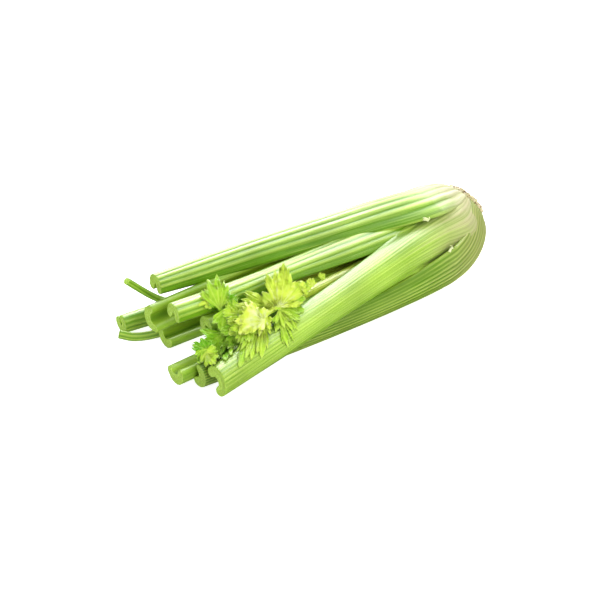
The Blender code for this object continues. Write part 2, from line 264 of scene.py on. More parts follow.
class Paint:
    """A material with short calls for the nodes that the finishes share."""

    def __init__(self, name: str) -> None:
        """Starts the material with its plain shader."""
        self.material = bpy.data.materials.new(name)
        self.material.use_nodes = True
        self.tree = self.material.node_tree
        self.shader = self.tree.nodes["Principled BSDF"]

    def feed(self, socket: bpy.types.NodeSocket, value: Feed) -> None:
        """Links or sets one input.

        Args:
            socket: the input.
            value: another node's output, or what to set it to.
        """
        if isinstance(value, bpy.types.NodeSocket):
            self.tree.links.new(value, socket)
        else:
            socket.default_value = value

    def node(self, kind: str, inputs: dict[int | str, Feed], **settings: object) -> bpy.types.Node:
        """Adds a node.

        Args:
            kind: its type's name after "ShaderNode".
            inputs: what goes into its inputs, under their places or names.
            settings: its own settings.

        Returns:
            The node.
        """
        made = self.tree.nodes.new("ShaderNode" + kind)
        for name, value in settings.items():
            setattr(made, name, value)
        for socket, value in inputs.items():
            self.feed(made.inputs[socket], value)
        return made

    def mark(self, name: str) -> bpy.types.NodeSocket:
        """A mark that the mesh carries."""
        return self.node("Attribute", {}, attribute_name=name).outputs["Fac"]

    def mix(self, share: Feed, first: Feed, last: Feed, how: str = "MIX") -> bpy.types.NodeSocket:
        """A mix of two colours."""
        inputs = {0: share, 6: first, 7: last}
        return self.node("Mix", inputs, data_type="RGBA", blend_type=how).outputs[2]

    def maths(self, how: str, first: Feed, last: Feed = 0.0) -> bpy.types.NodeSocket:
        """A sum, product or other result of two numbers."""
        return self.node("Math", {0: first, 1: last}, operation=how).outputs[0]

    def fit(
        self, value: Feed, low: float, high: float, first: float = 0.0, last: float = 1.0
    ) -> bpy.types.NodeSocket:
        """The value's place between low and high as a number from first to last."""
        inputs = {0: value, 1: low, 2: high, 3: first, 4: last}
        return self.node("MapRange", inputs, clamp=True).outputs[0]

    def along(self, across: float, length: float) -> bpy.types.NodeSocket:
        """Places on the piece's own map, stretched to so many cells a metre each way."""
        run = self.node("UVMap", {}, uv_map="run").outputs[0]
        return self.node("Mapping", {0: run, "Scale": (across, length, 1.0)}).outputs[0]

    def noise(self, where: Feed, scale: float, detail: float = 2.0) -> bpy.types.NodeSocket:
        """Cloudy noise from about 0.2 to 0.8."""
        inputs = {"Vector": where, "Scale": scale, "Detail": detail, "Roughness": 0.55}
        return self.node("TexNoise", inputs).outputs[0]

    def place(self) -> bpy.types.NodeSocket:
        """Places in the object's own metres."""
        return self.node("TexCoord", {}).outputs["Object"]

    def bump(self, height: Feed, depth: float, under: Feed | None = None) -> bpy.types.NodeSocket:
        """A bump in the surface.

        Args:
            height: its height from 0 to 1.
            depth: how many metres 1 is.
            under: another bump that it lies on.

        Returns:
            The bumped normal.
        """
        inputs = {"Height": height, "Distance": depth, "Strength": 1.0}
        if under is not None:
            inputs["Normal"] = under
        return self.node("Bump", inputs).outputs[0]

    def shade(self, **inputs: Feed) -> None:
        """Sets or links the plain shader's inputs, with _ for a space in a name."""
        for name, value in inputs.items():
            self.feed(self.shader.inputs[name.replace("_", " ")], value)


@dataclass(frozen=True)
class StalkFinish:
    """Juicy ribbed stalk: green valleys, paler ribs and hollow, cream towards the root, and painted
    shade darkening the middle of the hollow.
    """

    name: str
    valley: str
    crest: str
    hollow: str
    # darker green painted into the middle of the hollow as shade
    hollow_shade_colour: str
    cut: str
    cut_rim: str
    root: str
    root_valley: str

    def material(self) -> bpy.types.Material:
        """Builds the material.

        Returns:
            The material, which reads the marks that a stalk's skin carries.
        """
        paint = Paint(self.name)
        ridge, pale, inside = paint.mark("ridge"), paint.mark("pale"), paint.mark("inside")
        cut, strand, hollow_shade = paint.mark("cut"), paint.mark("strand"), paint.mark("hollow_shade")
        fibre = paint.noise(paint.along(2600.0, 26.0), 1.0, 3.0)
        streak = paint.noise(paint.along(700.0, 7.0), 1.0, 2.0)
        cells = paint.noise(paint.along(1500.0, 900.0), 1.0, 1.0)
        cloud = paint.noise(paint.place(), 22.0, 2.0)
        height = paint.maths("ADD", ridge, paint.fit(fibre, 0.3, 0.7, -0.22, 0.22))
        height = paint.maths("ADD", height, paint.fit(streak, 0.3, 0.7, -0.16, 0.16))
        body = paint.mix(paint.fit(height, 0.1, 1.0), colour(self.valley), colour(self.crest))
        # painted shade: the hollow's colour darkens towards the middle of its channel
        inner = paint.mix(hollow_shade, colour(self.hollow), colour(self.hollow_shade_colour))
        body = paint.mix(inside, body, inner)
        shade = paint.fit(cloud, 0.3, 0.7, 0.82, 1.12)
        shade = paint.maths("MULTIPLY", shade, paint.fit(cells, 0.3, 0.75, 0.95, 1.06))
        tint = paint.node("CombineColor", {0: shade, 1: shade, 2: shade}).outputs[0]
        body = paint.mix(1.0, body, tint, "MULTIPLY")
        rooty = paint.mix(paint.fit(height, 0.0, 0.9), colour(self.root_valley), colour(self.root))
        fade = paint.maths("ADD", pale, paint.fit(streak, 0.3, 0.7, -0.18, 0.18))
        body = paint.mix(paint.fit(fade, 0.12, 0.9), body, rooty)
        wet = paint.noise(paint.place(), 900.0, 2.0)
        face = paint.mix(paint.fit(wet, 0.3, 0.7), colour(self.cut), colour(self.cut_rim))
        face = paint.mix(strand, face, colour(self.cut_rim))
        body = paint.mix(cut, body, face)
        grooves = paint.bump(paint.fit(fibre, 0.25, 0.75), 0.00016)
        grooves = paint.bump(paint.fit(cells, 0.25, 0.75), 0.00005, grooves)
        rough = paint.fit(fibre, 0.3, 0.7, 0.30, 0.42)
        dull = paint.maths("MAXIMUM", paint.fit(pale, 0.1, 0.8), paint.mark("matt"))
        dull = paint.maths("MAXIMUM", dull, inside)
        rough = paint.maths("ADD", rough, paint.maths("MULTIPLY", dull, 0.3))
        coat = paint.fit(dull, 0.0, 1.0, 0.6, 0.03)
        paint.shade(Base_Color=body, Roughness=rough, Normal=grooves, IOR=1.47, Coat_Weight=coat)
        paint.shade(Subsurface_Weight=0.12, Subsurface_Scale=0.002)
        paint.shade(Subsurface_Radius=(0.6, 1.0, 0.25), Coat_Roughness=0.28)
        return paint.material


@dataclass(frozen=True)
class CrownFinish:
    """The trimmed root: cream flesh with crumbly brown bits at its rim."""

    name: str = "root_crown_flesh"
    flesh: str = "ccc4a0"
    dry: str = "b0a070"
    cut: str = "b0a074"
    brown: str = "4f3a1c"

    def material(self) -> bpy.types.Material:
        """Builds the material.

        Returns:
            The material, which reads the marks that the crown's skin carries.
        """
        paint = Paint(self.name)
        rim, face = paint.mark("rim"), paint.mark("face")
        coarse = paint.noise(paint.place(), 420.0, 4.0)
        fine = paint.noise(paint.place(), 1100.0, 3.0)
        flesh = paint.mix(paint.fit(coarse, 0.35, 0.65), colour(self.flesh), colour(self.dry))
        flesh = paint.mix(paint.maths("MULTIPLY", face, 0.55), flesh, colour(self.cut))
        spots = paint.maths("MULTIPLY", rim, paint.fit(coarse, 0.52, 0.60))
        spots = paint.maths("ADD", spots, paint.maths("MULTIPLY", face, paint.fit(fine, 0.58, 0.7)))
        body = paint.mix(paint.fit(spots, 0.1, 0.9), flesh, colour(self.brown))
        bumps = paint.bump(coarse, 0.0006)
        bumps = paint.bump(fine, 0.0002, bumps)
        paint.shade(Base_Color=body, Roughness=paint.fit(fine, 0.3, 0.7, 0.55, 0.8), Normal=bumps)
        paint.shade(Subsurface_Weight=0.15, Subsurface_Scale=0.002)
        return paint.material


@dataclass(frozen=True)
class LeafFinish:
    """A thin toothed leaf: light shows through it, and its veins are paler."""

    name: str = "leaf_blade"
    pale: str = "f2f6cc"
    young: str = "def054"
    fresh: str = "b6e034"
    dark: str = "7ac21a"
    vein: str = "e6f090"
    glow: float = 0.34

    def material(self) -> bpy.types.Material:
        """Builds the material.

        Returns:
            The material, which reads the marks that a leaf's skin carries.
        """
        paint = Paint(self.name)
        vein, tone, edge = paint.mark("vein"), paint.mark("tone"), paint.mark("edge")
        cloud = paint.noise(paint.place(), 160.0, 3.0)
        fine = paint.noise(paint.place(), 900.0, 2.0)
        green = paint.maths("ADD", tone, paint.fit(cloud, 0.3, 0.7, -0.14, 0.14))
        body = paint.mix(paint.fit(green, 0.0, 0.5), colour(self.young), colour(self.fresh))
        body = paint.mix(paint.fit(green, 0.5, 1.0), body, colour(self.dark))
        body = paint.mix(paint.fit(green, 0.0, -0.4), body, colour(self.pale))
        body = paint.mix(paint.maths("MULTIPLY", vein, 0.28), body, colour(self.vein))
        body = paint.mix(paint.maths("MULTIPLY", edge, 0.45), body, colour(self.vein))
        bumps = paint.bump(paint.maths("SUBTRACT", fine, vein), 0.00018)
        paint.shade(Base_Color=body, Normal=bumps, IOR=1.42)
        paint.shade(Roughness=paint.fit(fine, 0.3, 0.7, 0.34, 0.5), Coat_Weight=0.3)
        behind = paint.node("BsdfTranslucent", {0: body, 1: bumps})
        both = paint.node(
            "MixShader", {0: self.glow, 1: paint.shader.outputs[0], 2: behind.outputs[0]}
        )
        output = paint.tree.nodes["Material Output"]
        paint.feed(output.inputs["Surface"], both.outputs[0])
        return paint.material


# ---------------------------------------------------------------- stalks


@dataclass(frozen=True)
class Layer:
    """A ring of sheaths round the crown."""

    start_x: float
    crown_radius: float
    shoulder_radius: float
    thickness: float


LAYERS = (
    Layer(149.0, 16.5, 42.5, 10.0),
    Layer(142.5, 15.5, 31.0, 9.0),
    Layer(136.0, 13.0, 20.5, 7.5),
    Layer(128.0, 7.0, 11.5, 5.5),
)
DOME = 2.05  # how square the layers' shoulders are
CROWN_THINNING = 0.45
LIP_SHARE = 0.45  # thickness at the lips over thickness in the middle
LEAST_HOLLOW = 0.1
SLIM_RUN = 0.13  # share of the way to the top over which a sheath narrows to a stem
CURL_IN_RUN = 0.30  # the same for how far its section closes
THIN_RUN = 0.5  # the same for its thickness
STRAIGHT_RUN = 0.12  # the same for the bend out of the shoulder
BOW_PEAK = 0.7
CLOSING_START = 0.5  # share of the way to the top from which a section closes further
FLUSH_START = 80.0  # where a flush sheath starts to swell
FLUSH_RUN = 32.0
THIN_LIP = 0.14  # LIP_SHARE at the crown
THIN_LIP_START = 95.0
THIN_LIP_RUN = 32.0
THICK_LIP = 0.78  # LIP_SHARE at the cut tops
THICK_LIP_START = 30.0
THICK_LIP_RUN = 110.0
REST_HEIGHT = 0.45  # rib height given to the hollow side
FULL_PITCH = 5.5  # pitch of the ribs that have their whole depth
FREE_START = 110.0  # where the ribs near the lips start to fade out
FREE_RUN = 70.0
SWELL_FULL = 80.0  # where bulge and lift are whole
SWELL_FADE = 118.0  # where they start to fade again
SWELL_FADE_RUN = 28.0
PALE_FULL = 134.0  # where a root end is palest
MATT_START = 10.0
MATT_RUN = 60.0
STRAND_PLACE = 0.30  # share of the way in from a cut's edge at which its strands lie
STRAND_WIDTH = 0.16
SHEATH_ROWS = 56
STEM_ROWS = 120
STATION_SPREAD = 1.2
POINTS_A_RIB = 9
LIP_POINTS = 7
CUT_EDGE = 0.55  # radius of the edge round a cut
ROOT_EDGE = 1.2
EDGE_BENDS = (30.0, 60.0, 90.0)  # degrees round an edge at which its rings stand
FACE_RINGS = 7
FACE_DISH = 0.25
MAP_WIDTH = 0.072  # metres of a piece's map round a whole stalk
MAP_ROOT = 8.0  # millimetres of it before the crown
MAP_FACE = 4.0  # and across an end face


@dataclass
class Sections:
    """The sections of a stalk, one for each row: all arrays of the same length."""

    x: np.ndarray
    centre: np.ndarray
    turn: np.ndarray
    radius: np.ndarray
    half_angle: np.ndarray
    thickness: np.ndarray
    share: np.ndarray

    def joined(self, other: "Sections") -> "Sections":
        """These sections and then the other's."""
        pairs = [(getattr(self, name), getattr(other, name)) for name in self.__dict__]
        return Sections(*[np.concatenate(pair) for pair in pairs])


@dataclass(frozen=True)
class Stalk:
    """One stalk, from its sheath at the crown to its cut top.

    Attributes:
        layer: which of LAYERS its sheath is part of.
        turn: the way that its ribbed back faces, in degrees from straight up towards the front.
        half_angle: how far round its sheath reaches, in degrees.
        end: the middle of its back at the cut.
        bow: how far y and z swing out on the way there.
        twist: degrees added to turn at the crown.
        closing: how many degrees more the section closes on each side near the cut.
        crest: a power on the ribs' wave, whose low values leave only narrow valleys.
        contrast: how strongly the ribs show in its colour.
        flush: if not 0, its sheath swells out between its outer neighbours at the crown, until
            it lies this many millimetres inside their surface.
        paling: how cream its root end is, from pale_start on.
        bulge: how many millimetres rounder its back is past the shoulder.
        lift: how many millimetres further out its back stands there.
        swell_start: where bulge and lift begin.
        matt: how dull its shoulder is.
    """

    name: str
    layer: int
    turn: float
    half_angle: float
    end: tuple[float, float, float]
    end_turn: float
    end_radius: float
    mid_radius: float
    end_half_angle: float = 96.0
    end_thickness: float = 9.0
    bow: tuple[float, float] = (0.0, 0.0)
    twist: float = 0.0
    closing: float = 0.0
    ribs: int = 9
    rib_depth: float = 0.9
    crest: float = 0.7
    contrast: float = 1.0
    flush: float = 0.0
    paling: float = 1.0
    bulge: float = 0.0
    lift: float = 0.0
    swell_start: float = 20.0
    pale_start: float = 48.0
    matt: float = 0.0
    seed: int = 1

    def sheath(self, x: np.ndarray) -> Sections:
        """The sections where the stalk is part of a layer.

        The layer's radius grows from the crown as a dome: (1 - (1 - rise)^DOME)^(1/DOME).

        Args:
            x: places along the head.

        Returns:
            A section for each place.
        """
        layer = LAYERS[self.layer]
        rise = np.clip((layer.start_x - x) / (layer.start_x - SHOULDER_X), 0.0, 1.0)
        dome = (1.0 - (1.0 - rise) ** DOME) ** (1.0 / DOME)
        radius = blend(layer.crown_radius, layer.shoulder_radius, dome)
        if self.flush > 0.0:
            outer = LAYERS[0]
            up = np.clip((outer.start_x - x) / (outer.start_x - SHOULDER_X), 0.0, 1.0)
            up = (1.0 - (1.0 - up) ** DOME) ** (1.0 / DOME)
            shell = blend(outer.crown_radius, outer.shoulder_radius, up) - self.flush
            radius = blend(radius, shell, smooth((x - FLUSH_START) / FLUSH_RUN))
        return Sections(
            x,
            np.stack(head_axis(x), axis=-1),
            self.turn + self.twist * (1.0 - rise),
            radius,
            np.full_like(x, self.half_angle),
            blend(CROWN_THINNING, 1.0, dome) * layer.thickness,
            np.zeros_like(x),
        )

    def stem(self, share: np.ndarray) -> Sections:
        """The sections where it runs free, from the shoulder at share 0 to the cut at 1.

        Each size falls from its value at the shoulder to its value at the cut with its own
        exponential of the share, and the back's line bends straight in the same way.

        Args:
            share: shares of the way.

        Returns:
            A section for each share.
        """
        at = self.sheath(np.full_like(share, SHOULDER_X))
        start = at.centre + at.radius[:, None] * facing(at.turn)[0]
        late = STRAIGHT_RUN * (1.0 - np.exp(-share / STRAIGHT_RUN))
        late_end = STRAIGHT_RUN * (1.0 - math.exp(-1.0 / STRAIGHT_RUN))
        run = ((share - late) / (1.0 - late_end))[:, None]
        bow = np.outer(np.sin(np.pi * share**BOW_PEAK), self.bow)
        back = blend(start, np.array(self.end[1:]), run) + bow
        slim = np.exp(-share / SLIM_RUN)
        radius = blend(self.mid_radius, self.end_radius, share)
        radius = radius + (at.radius - self.mid_radius) * slim
        turn = blend(at.turn, self.end_turn, smooth(share))
        closed = self.closing * smooth((share - CLOSING_START) / (1.0 - CLOSING_START))
        return Sections(
            blend(SHOULDER_X, self.end[0] + CUT_EDGE, share),
            back - radius[:, None] * facing(turn)[0],
            turn,
            radius,
            blend(self.end_half_angle, at.half_angle, np.exp(-share / CURL_IN_RUN)) + closed,
            blend(self.end_thickness, at.thickness, np.exp(-share / THIN_RUN)),
            share,
        )

    def sections(self) -> Sections:
        """Every section, from the crown to the cut top.

        Returns:
            Sections that stand closer together at the crown and after the shoulder.
        """
        angle = 0.5 * np.pi * np.arange(SHEATH_ROWS) / SHEATH_ROWS
        first = LAYERS[0 if self.flush > 0.0 else self.layer].start_x - ROOT_EDGE
        sheath = self.sheath(blend(first, SHOULDER_X, 1.0 - np.cos(angle)))
        share = (np.arange(STEM_ROWS) / (STEM_ROWS - 1)) ** STATION_SPREAD
        return sheath.joined(self.stem(share))

    def ridges(self, u: np.ndarray, x: np.ndarray) -> np.ndarray:
        """Rib height from 0 in a valley to 1 on a crest.

        A rounded wave across the back, one to a rib, whose ribs differ a little in width and
        height, with finer lines on it. The ribs fade out towards the lips.

        Args:
            u: place across the back from -1 to 1.
            x: place along the head.

        Returns:
            The height for each pair.
        """
        rng = np.random.default_rng(self.seed)
        tall = rng.uniform(0.6, 1.0, self.ribs + 4)
        warp = rng.uniform(-1.0, 1.0, 3)
        phase = 0.5 * (u + 1.0) * self.ribs + 0.3 * warp[0] * np.sin(4.0 * u + 3.0 * warp[1])
        phase = phase + 0.10 * np.sin(x / 31.0 + 5.0 * warp[2]) + 1.0
        wave = (0.5 - 0.5 * np.cos(2.0 * np.pi * phase)) ** self.crest
        wave = wave * tall[np.floor(phase).astype(int)]
        fine = 0.10 * (0.5 - 0.5 * np.cos(6.0 * np.pi * phase))
        free = smooth((FREE_START - x) / FREE_RUN)
        return (wave + fine) * (1.0 - 0.72 * free * smooth((np.abs(u) - 0.5) / 0.45))

    def outline(self, at: Sections) -> tuple[np.ndarray, np.ndarray, np.ndarray]:
        """The crescent at each section, its middle line and its ribs.

        The back is an arc with the ribs' valleys cut into it, the hollow side an arc inside it
        whose wall is thinner towards the lips, and each lip a half circle.

        Args:
            at: the sections.

        Returns:
            Outline and middle line, rows x columns x (y, z), and rib heights, rows x columns.
        """
        radius, thickness = at.radius[:, None], at.thickness[:, None]
        u = np.linspace(-1.0, 1.0, self.ribs * POINTS_A_RIB)[None, :]
        thinned = smooth((at.x - THIN_LIP_START) / THIN_LIP_RUN)
        thickened = smooth((THICK_LIP_START - at.x) / THICK_LIP_RUN)
        lip_share = blend(blend(LIP_SHARE, THIN_LIP, thinned), THICK_LIP, thickened)[:, None]
        lip = 0.5 * lip_share * thickness
        bend = np.radians(at.half_angle)[:, None] - lip / radius
        ridge = self.ridges(u, at.x[:, None])
        pitch = 2.0 * bend * radius / self.ribs
        depth = self.rib_depth * np.clip(pitch / FULL_PITCH, 0.15, 1.25)
        back = radius - depth * (1.0 - ridge) * (1.0 - smooth((np.abs(u) - 0.8) / 0.2))
        swell = smooth((at.x - self.swell_start) / (SWELL_FULL - self.swell_start))
        swell = (swell * (1.0 - smooth((at.x - SWELL_FADE) / SWELL_FADE_RUN)))[:, None]
        back = back + self.bulge * swell * (np.cos(0.5 * np.pi * u) - 0.6)
        back = back + self.lift * swell
        wall = thickness * blend(lip_share, 1.0, 1.0 - u**2)
        flute = 0.12 * np.sin(23.0 * u + self.seed)
        hollow = np.maximum(radius - wall, LEAST_HOLLOW * radius) + flute * (1.0 - u**2)
        middle = 0.5 * (radius + np.maximum(radius - wall, LEAST_HOLLOW * radius))
        rounding = np.linspace(0.0, np.pi, LIP_POINTS + 2)[1:-1][None, :]
        lip_reach = radius - lip + lip * np.cos(rounding)
        lip_angle = bend + lip * np.sin(rounding) / (radius - lip)
        flat = np.ones_like(rounding)
        reach = np.concatenate((back, lip_reach, hollow[:, ::-1], lip_reach[:, ::-1]), axis=1)
        angle = np.concatenate((bend * u, lip_angle, -bend * u, -lip_angle[:, ::-1]), axis=1)
        inner = (radius - lip) * flat
        mid_reach = np.concatenate((middle, inner, middle[:, ::-1], inner), axis=1)
        mid_angle = np.concatenate((bend * u, bend * flat, -bend * u, -bend * flat), axis=1)
        out, across = (way[:, None, :] for way in facing(at.turn))
        centre = at.centre[:, None, :]
        edge, mid = (
            centre + (r * np.cos(a))[..., None] * out + (r * np.sin(a))[..., None] * across
            for r, a in ((reach, angle), (mid_reach, mid_angle))
        )
        rest = np.full((len(at.x), edge.shape[1] - ridge.shape[1]), REST_HEIGHT)
        shown = blend(0.5, ridge, self.contrast)
        return edge, mid, np.concatenate((shown, rest), axis=1)

    def skin(self) -> Skin:
        """The whole closed surface: root edge, stalk, cut edge and cut face.

        Returns:
            The skin, with its marks: ridge is the height of the ribs, pale and matt how cream
            and how dull the root end is, cut the cut face and strand its strands, inside the hollow
            side, and the last mark the painted shade that darkens the middle of the hollow.
        """
        at = self.sections()
        edge, mid, ridge = self.outline(at)
        rows, columns = edge.shape[:2]
        wide = self.ribs * POINTS_A_RIB
        place = np.broadcast_to(at.x[:, None, None], (rows, columns, 1))
        straight = np.concatenate((place, edge), axis=2)
        tip_x, tip_share = self.face(edge[-1], mid[-1], CUT_EDGE)
        root_x, root_share = self.face(edge[0], mid[0], ROOT_EDGE)
        tip = self.capped(edge[-1], mid[-1], at.x[-1] - tip_x, tip_share)
        root = self.capped(edge[0], mid[0], at.x[0] + root_x, root_share)[::-1]
        grid = np.concatenate((root, straight, tip))
        caps = len(root), len(tip)
        first, last = ridge[:1].repeat(caps[0], 0), ridge[-1:].repeat(caps[1], 0)
        ridge = np.concatenate((first, ridge, last))
        inside = np.zeros(columns)
        inside[wide : wide + LIP_POINTS] = np.linspace(0.1, 0.9, LIP_POINTS)
        inside[wide + LIP_POINTS : 2 * wide + LIP_POINTS] = 1.0
        inside[2 * wide + LIP_POINTS :] = np.linspace(0.9, 0.1, LIP_POINTS)
        # painted shade in the hollow: 1 - u squared, darkest in the middle of the hollow side
        depth = np.zeros(columns)
        u = np.linspace(-1.0, 1.0, wide)
        depth[wide + LIP_POINTS : 2 * wide + LIP_POINTS] = 1.0 - u**2
        cut = np.zeros(grid.shape[:2])
        cut[-caps[1] + 1 :] = 1.0
        strand = np.zeros(grid.shape[:2])
        near = np.exp(-(((tip_share - STRAND_PLACE) / STRAND_WIDTH) ** 2))
        strand[-caps[1] :, :wide] = (near * ridge[-caps[1] :] ** 4)[:, :wide]
        across = np.linspace(0.0, 1.0, columns + 1) * MAP_WIDTH
        run = LAYERS[0].start_x - at.x + MAP_ROOT
        before = run[0] - MAP_FACE * root_share.mean(1)[::-1]
        length = np.concatenate((before, run, run[-1] + MAP_FACE * tip_share.mean(1)))
        uv = np.stack(np.broadcast_arrays(across[None, :], length[:, None] * MM), axis=-1)
        paled = smooth((grid[..., 0] - self.pale_start) / (PALE_FULL - self.pale_start))
        matt = self.matt * smooth((grid[..., 0] - MATT_START) / MATT_RUN)
        skin = Skin(self.name)
        skin.add(
            curled(grid) + HEAD_SHIFT, uv, wrap=True, ridge=ridge, pale=self.paling * paled,
            cut=cut, matt=matt, inside=np.broadcast_to(inside, cut.shape), strand=strand,
            hollow_shade=np.broadcast_to(depth, cut.shape),
        )
        return skin

    def face(
        self, edge: np.ndarray, mid: np.ndarray, round_edge: float
    ) -> tuple[np.ndarray, np.ndarray]:
        """How far the rings of an end face stand out, and how far in they lie.

        A quarter circle of rounding and then rings up to the middle line, a little dished.

        Args:
            edge: the outline, columns x 2.
            mid: its middle line.
            round_edge: the radius of the rounding.

        Returns:
            Distance out along the stalk and share of the way in, rings x columns each.
        """
        wall = np.linalg.norm(mid - edge, axis=-1)[None, :]
        bend = np.radians(EDGE_BENDS)[:, None]
        first = np.minimum(round_edge * (1.0 - np.cos(bend)) / wall, 0.6)
        step = np.linspace(0.0, 1.0, FACE_RINGS + 1)[1:, None]
        share = np.concatenate((first, blend(first[-1:], 1.0, step)))
        out = np.concatenate((round_edge * np.sin(bend), np.full_like(step, round_edge)))
        dish = FACE_DISH * np.sin(np.pi * np.clip(share, 0.0, 1.0) * 0.5) ** 2
        return np.broadcast_to(out, share.shape) - dish, share

    def capped(
        self, edge: np.ndarray, mid: np.ndarray, x: np.ndarray, share: np.ndarray
    ) -> np.ndarray:
        """The rings of an end face as points: the outline drawn in to its middle line."""
        flat = blend(edge[None], mid[None], share[..., None])
        return np.concatenate((np.broadcast_to(x, share.shape)[..., None], flat), axis=-1)


STALKS = (
    Stalk("outer_stalk_top", 0, -20.0, 55.0, (-125, 48.5, 59), 2.0, 8.8, 20.0,
          end_half_angle=120.0, bow=(4.0, 1.0), closing=20.0, ribs=9, rib_depth=1.3,
          pale_start=62.0, matt=0.8, seed=3),
    Stalk("outer_stalk_front", 0, 129.0, 55.0, (-138, -34, 9.2), 108.0, 10.0, 15.0,
          bow=(3.0, -6.0), twist=-30.0, closing=14.0, ribs=15, rib_depth=0.7, crest=1.3,
          contrast=0.85, paling=0.62, seed=5),
    Stalk("outer_stalk_back", 0, 235.0, 45.0, (-142, 71.4, 1.7), 150.0, 8.2, 14.0,
          twist=-14.0, closing=50.0, ribs=8, seed=8),
    Stalk("inner_stalk_front", 1, 54.0, 42.0, (-136, -55, 25), 50.0, 12.0, 16.0,
          end_half_angle=86.0, end_thickness=10.5, bow=(0.0, -3.0), closing=46.0, ribs=16,
          rib_depth=0.40, crest=0.35, contrast=0.6, flush=1.3, pale_start=25.0, paling=0.85,
          bulge=6.0, seed=13),
    Stalk("inner_stalk_underside", 1, 178.0, 49.0, (-148, -12, 0.85), 165.0, 10.5, 12.5,
          closing=10.0, rib_depth=0.6, contrast=0.5, seed=21),
    Stalk("inner_stalk_back", 1, 296.0, 52.0, (-138, 45.5, 27.0), 248.0, 11.0, 10.8,
          end_thickness=9.0, bow=(1.4, 3.4), closing=20.0, contrast=0.6, seed=34),
    Stalk("inner_stalk_top", 2, -4.0, 46.0, (-132, 13.4, 52.1), 6.0, 8.6, 12.0, closing=36.0,
          ribs=8, rib_depth=0.9, lift=8.0, swell_start=-90.0, seed=55),
    Stalk("inner_stalk_low", 2, 226.0, 38.0, (-128, 37.2, 3.1), 200.0, 9.5, 10.5,
          bow=(0.4, 0.3), closing=14.0, ribs=8, rib_depth=0.5, contrast=0.4, seed=89),
    Stalk("inner_stalk_middle", 2, 112.0, 46.0, (-112, 8.7, 35.2), 300.0, 8.3, 10.0,
          bow=(1.0, -3.0), closing=50.0, ribs=8, rib_depth=0.4, contrast=0.4, seed=144),
    Stalk("heart_stalk_front", 3, 20.0, 40.0, (-50, -29, 49), 30.0, 4.0, 6.0,
          end_half_angle=80.0, end_thickness=4.5, bow=(1.5, -3.0), ribs=7, rib_depth=0.35,
          seed=233),
    Stalk("heart_stalk_back", 3, 285.0, 40.0, (-70, 18, 27), 290.0, 4.5, 6.0,
          end_half_angle=80.0, end_thickness=4.5, ribs=7, rib_depth=0.35, seed=377),
    Stalk("heart_stalk_low", 3, 190.0, 38.0, (-84, 4, 16), 200.0, 4.5, 5.5,
          end_half_angle=80.0, end_thickness=4.5, bow=(4.0, 0.0), ribs=7, rib_depth=0.35, seed=610),
)


# ---------------------------------------------------------------- crown, stems


@dataclass(frozen=True)
class RootCrown:
    """The trimmed root that holds the sheaths together."""

    name: str = "root_crown"
    profile: tuple[tuple[float, float], ...] = (
        (153.4, 0.0), (153.5, 4.0), (153.8, 8.0), (154.2, 12.0), (154.6, 14.6), (154.1, 16.4),
        (152.6, 17.4), (150.8, 17.5), (149.2, 16.4), (148.6, 14.0), (148.4, 11.2), (143.0, 10.8),
        (136.5, 9.0), (129.0, 4.0), (122.0, 0.0),
    )
    sides: int = 160
    seen_rings: int = 70
    seen_share: float = 0.62  # of the profile, which shows outside the sheaths
    hidden_rings: int = 20
    face_x: float = 152.6  # where the cut face's marks start
    face_run: float = 1.2
    rim_x: float = 149.0
    rim_run: float = 1.5
    rim_radius: float = 16.6
    rim_width: float = 1.8
    face_crumbs: float = 0.5
    rim_crumbs: float = 0.9  # how far they stand out along the head
    rim_spread: float = 1.3  # and away from its axis

    def skin(self) -> Skin:
        """A profile turned round the head's axis, with crumbs on its face and rim.

        The rim's share falls off as exp(-(distance / rim_width)^2) to both sides of rim_radius.

        Returns:
            The skin, with its marks face and rim.
        """
        given = np.array(self.profile)
        gap = np.linalg.norm(np.diff(given, axis=0), axis=1)
        run = np.concatenate(([0.0], np.cumsum(gap)))
        share = np.linspace(0.0, run[-1] * self.seen_share, self.seen_rings)
        hidden = np.linspace(share[-1], run[-1], self.hidden_rings + 1)[1:]
        share = np.concatenate((share, hidden))
        x, radius = (np.interp(share, run, given[:, at]) for at in (0, 1))
        angle = np.arange(self.sides) * 2.0 * np.pi / self.sides
        y, z = head_axis(x)
        ring = np.stack((np.sin(angle), np.cos(angle)), axis=-1)
        grid = np.empty((len(x), self.sides, 3))
        grid[..., 0] = x[:, None]
        grid[..., 1:] = np.stack((y, z), axis=-1)[:, None] + radius[:, None, None] * ring
        face = smooth((x - self.face_x) / self.face_run)[:, None] * np.ones(self.sides)
        rim = np.exp(-(((radius - self.rim_radius) / self.rim_width) ** 2))
        rim = (rim * smooth((x - self.rim_x) / self.rim_run))[:, None] * np.ones(self.sides)
        rough = 0.8 * grain(grid, 2.6, 5) + 0.5 * grain(grid, 1.1, 6) + 0.25 * grain(grid, 0.5, 7)
        pole = smooth(radius / 2.0)[:, None]
        grid[..., 0] += pole * (self.face_crumbs * face + self.rim_crumbs * rim) * rough
        out = pole * (0.12 + self.rim_spread * rim) * rough
        grid[..., 1:] += out[..., None] * ring[None]
        skin = Skin(self.name)
        skin.add(curled(grid) + HEAD_SHIFT, wrap=True, face=face, rim=rim)
        return skin


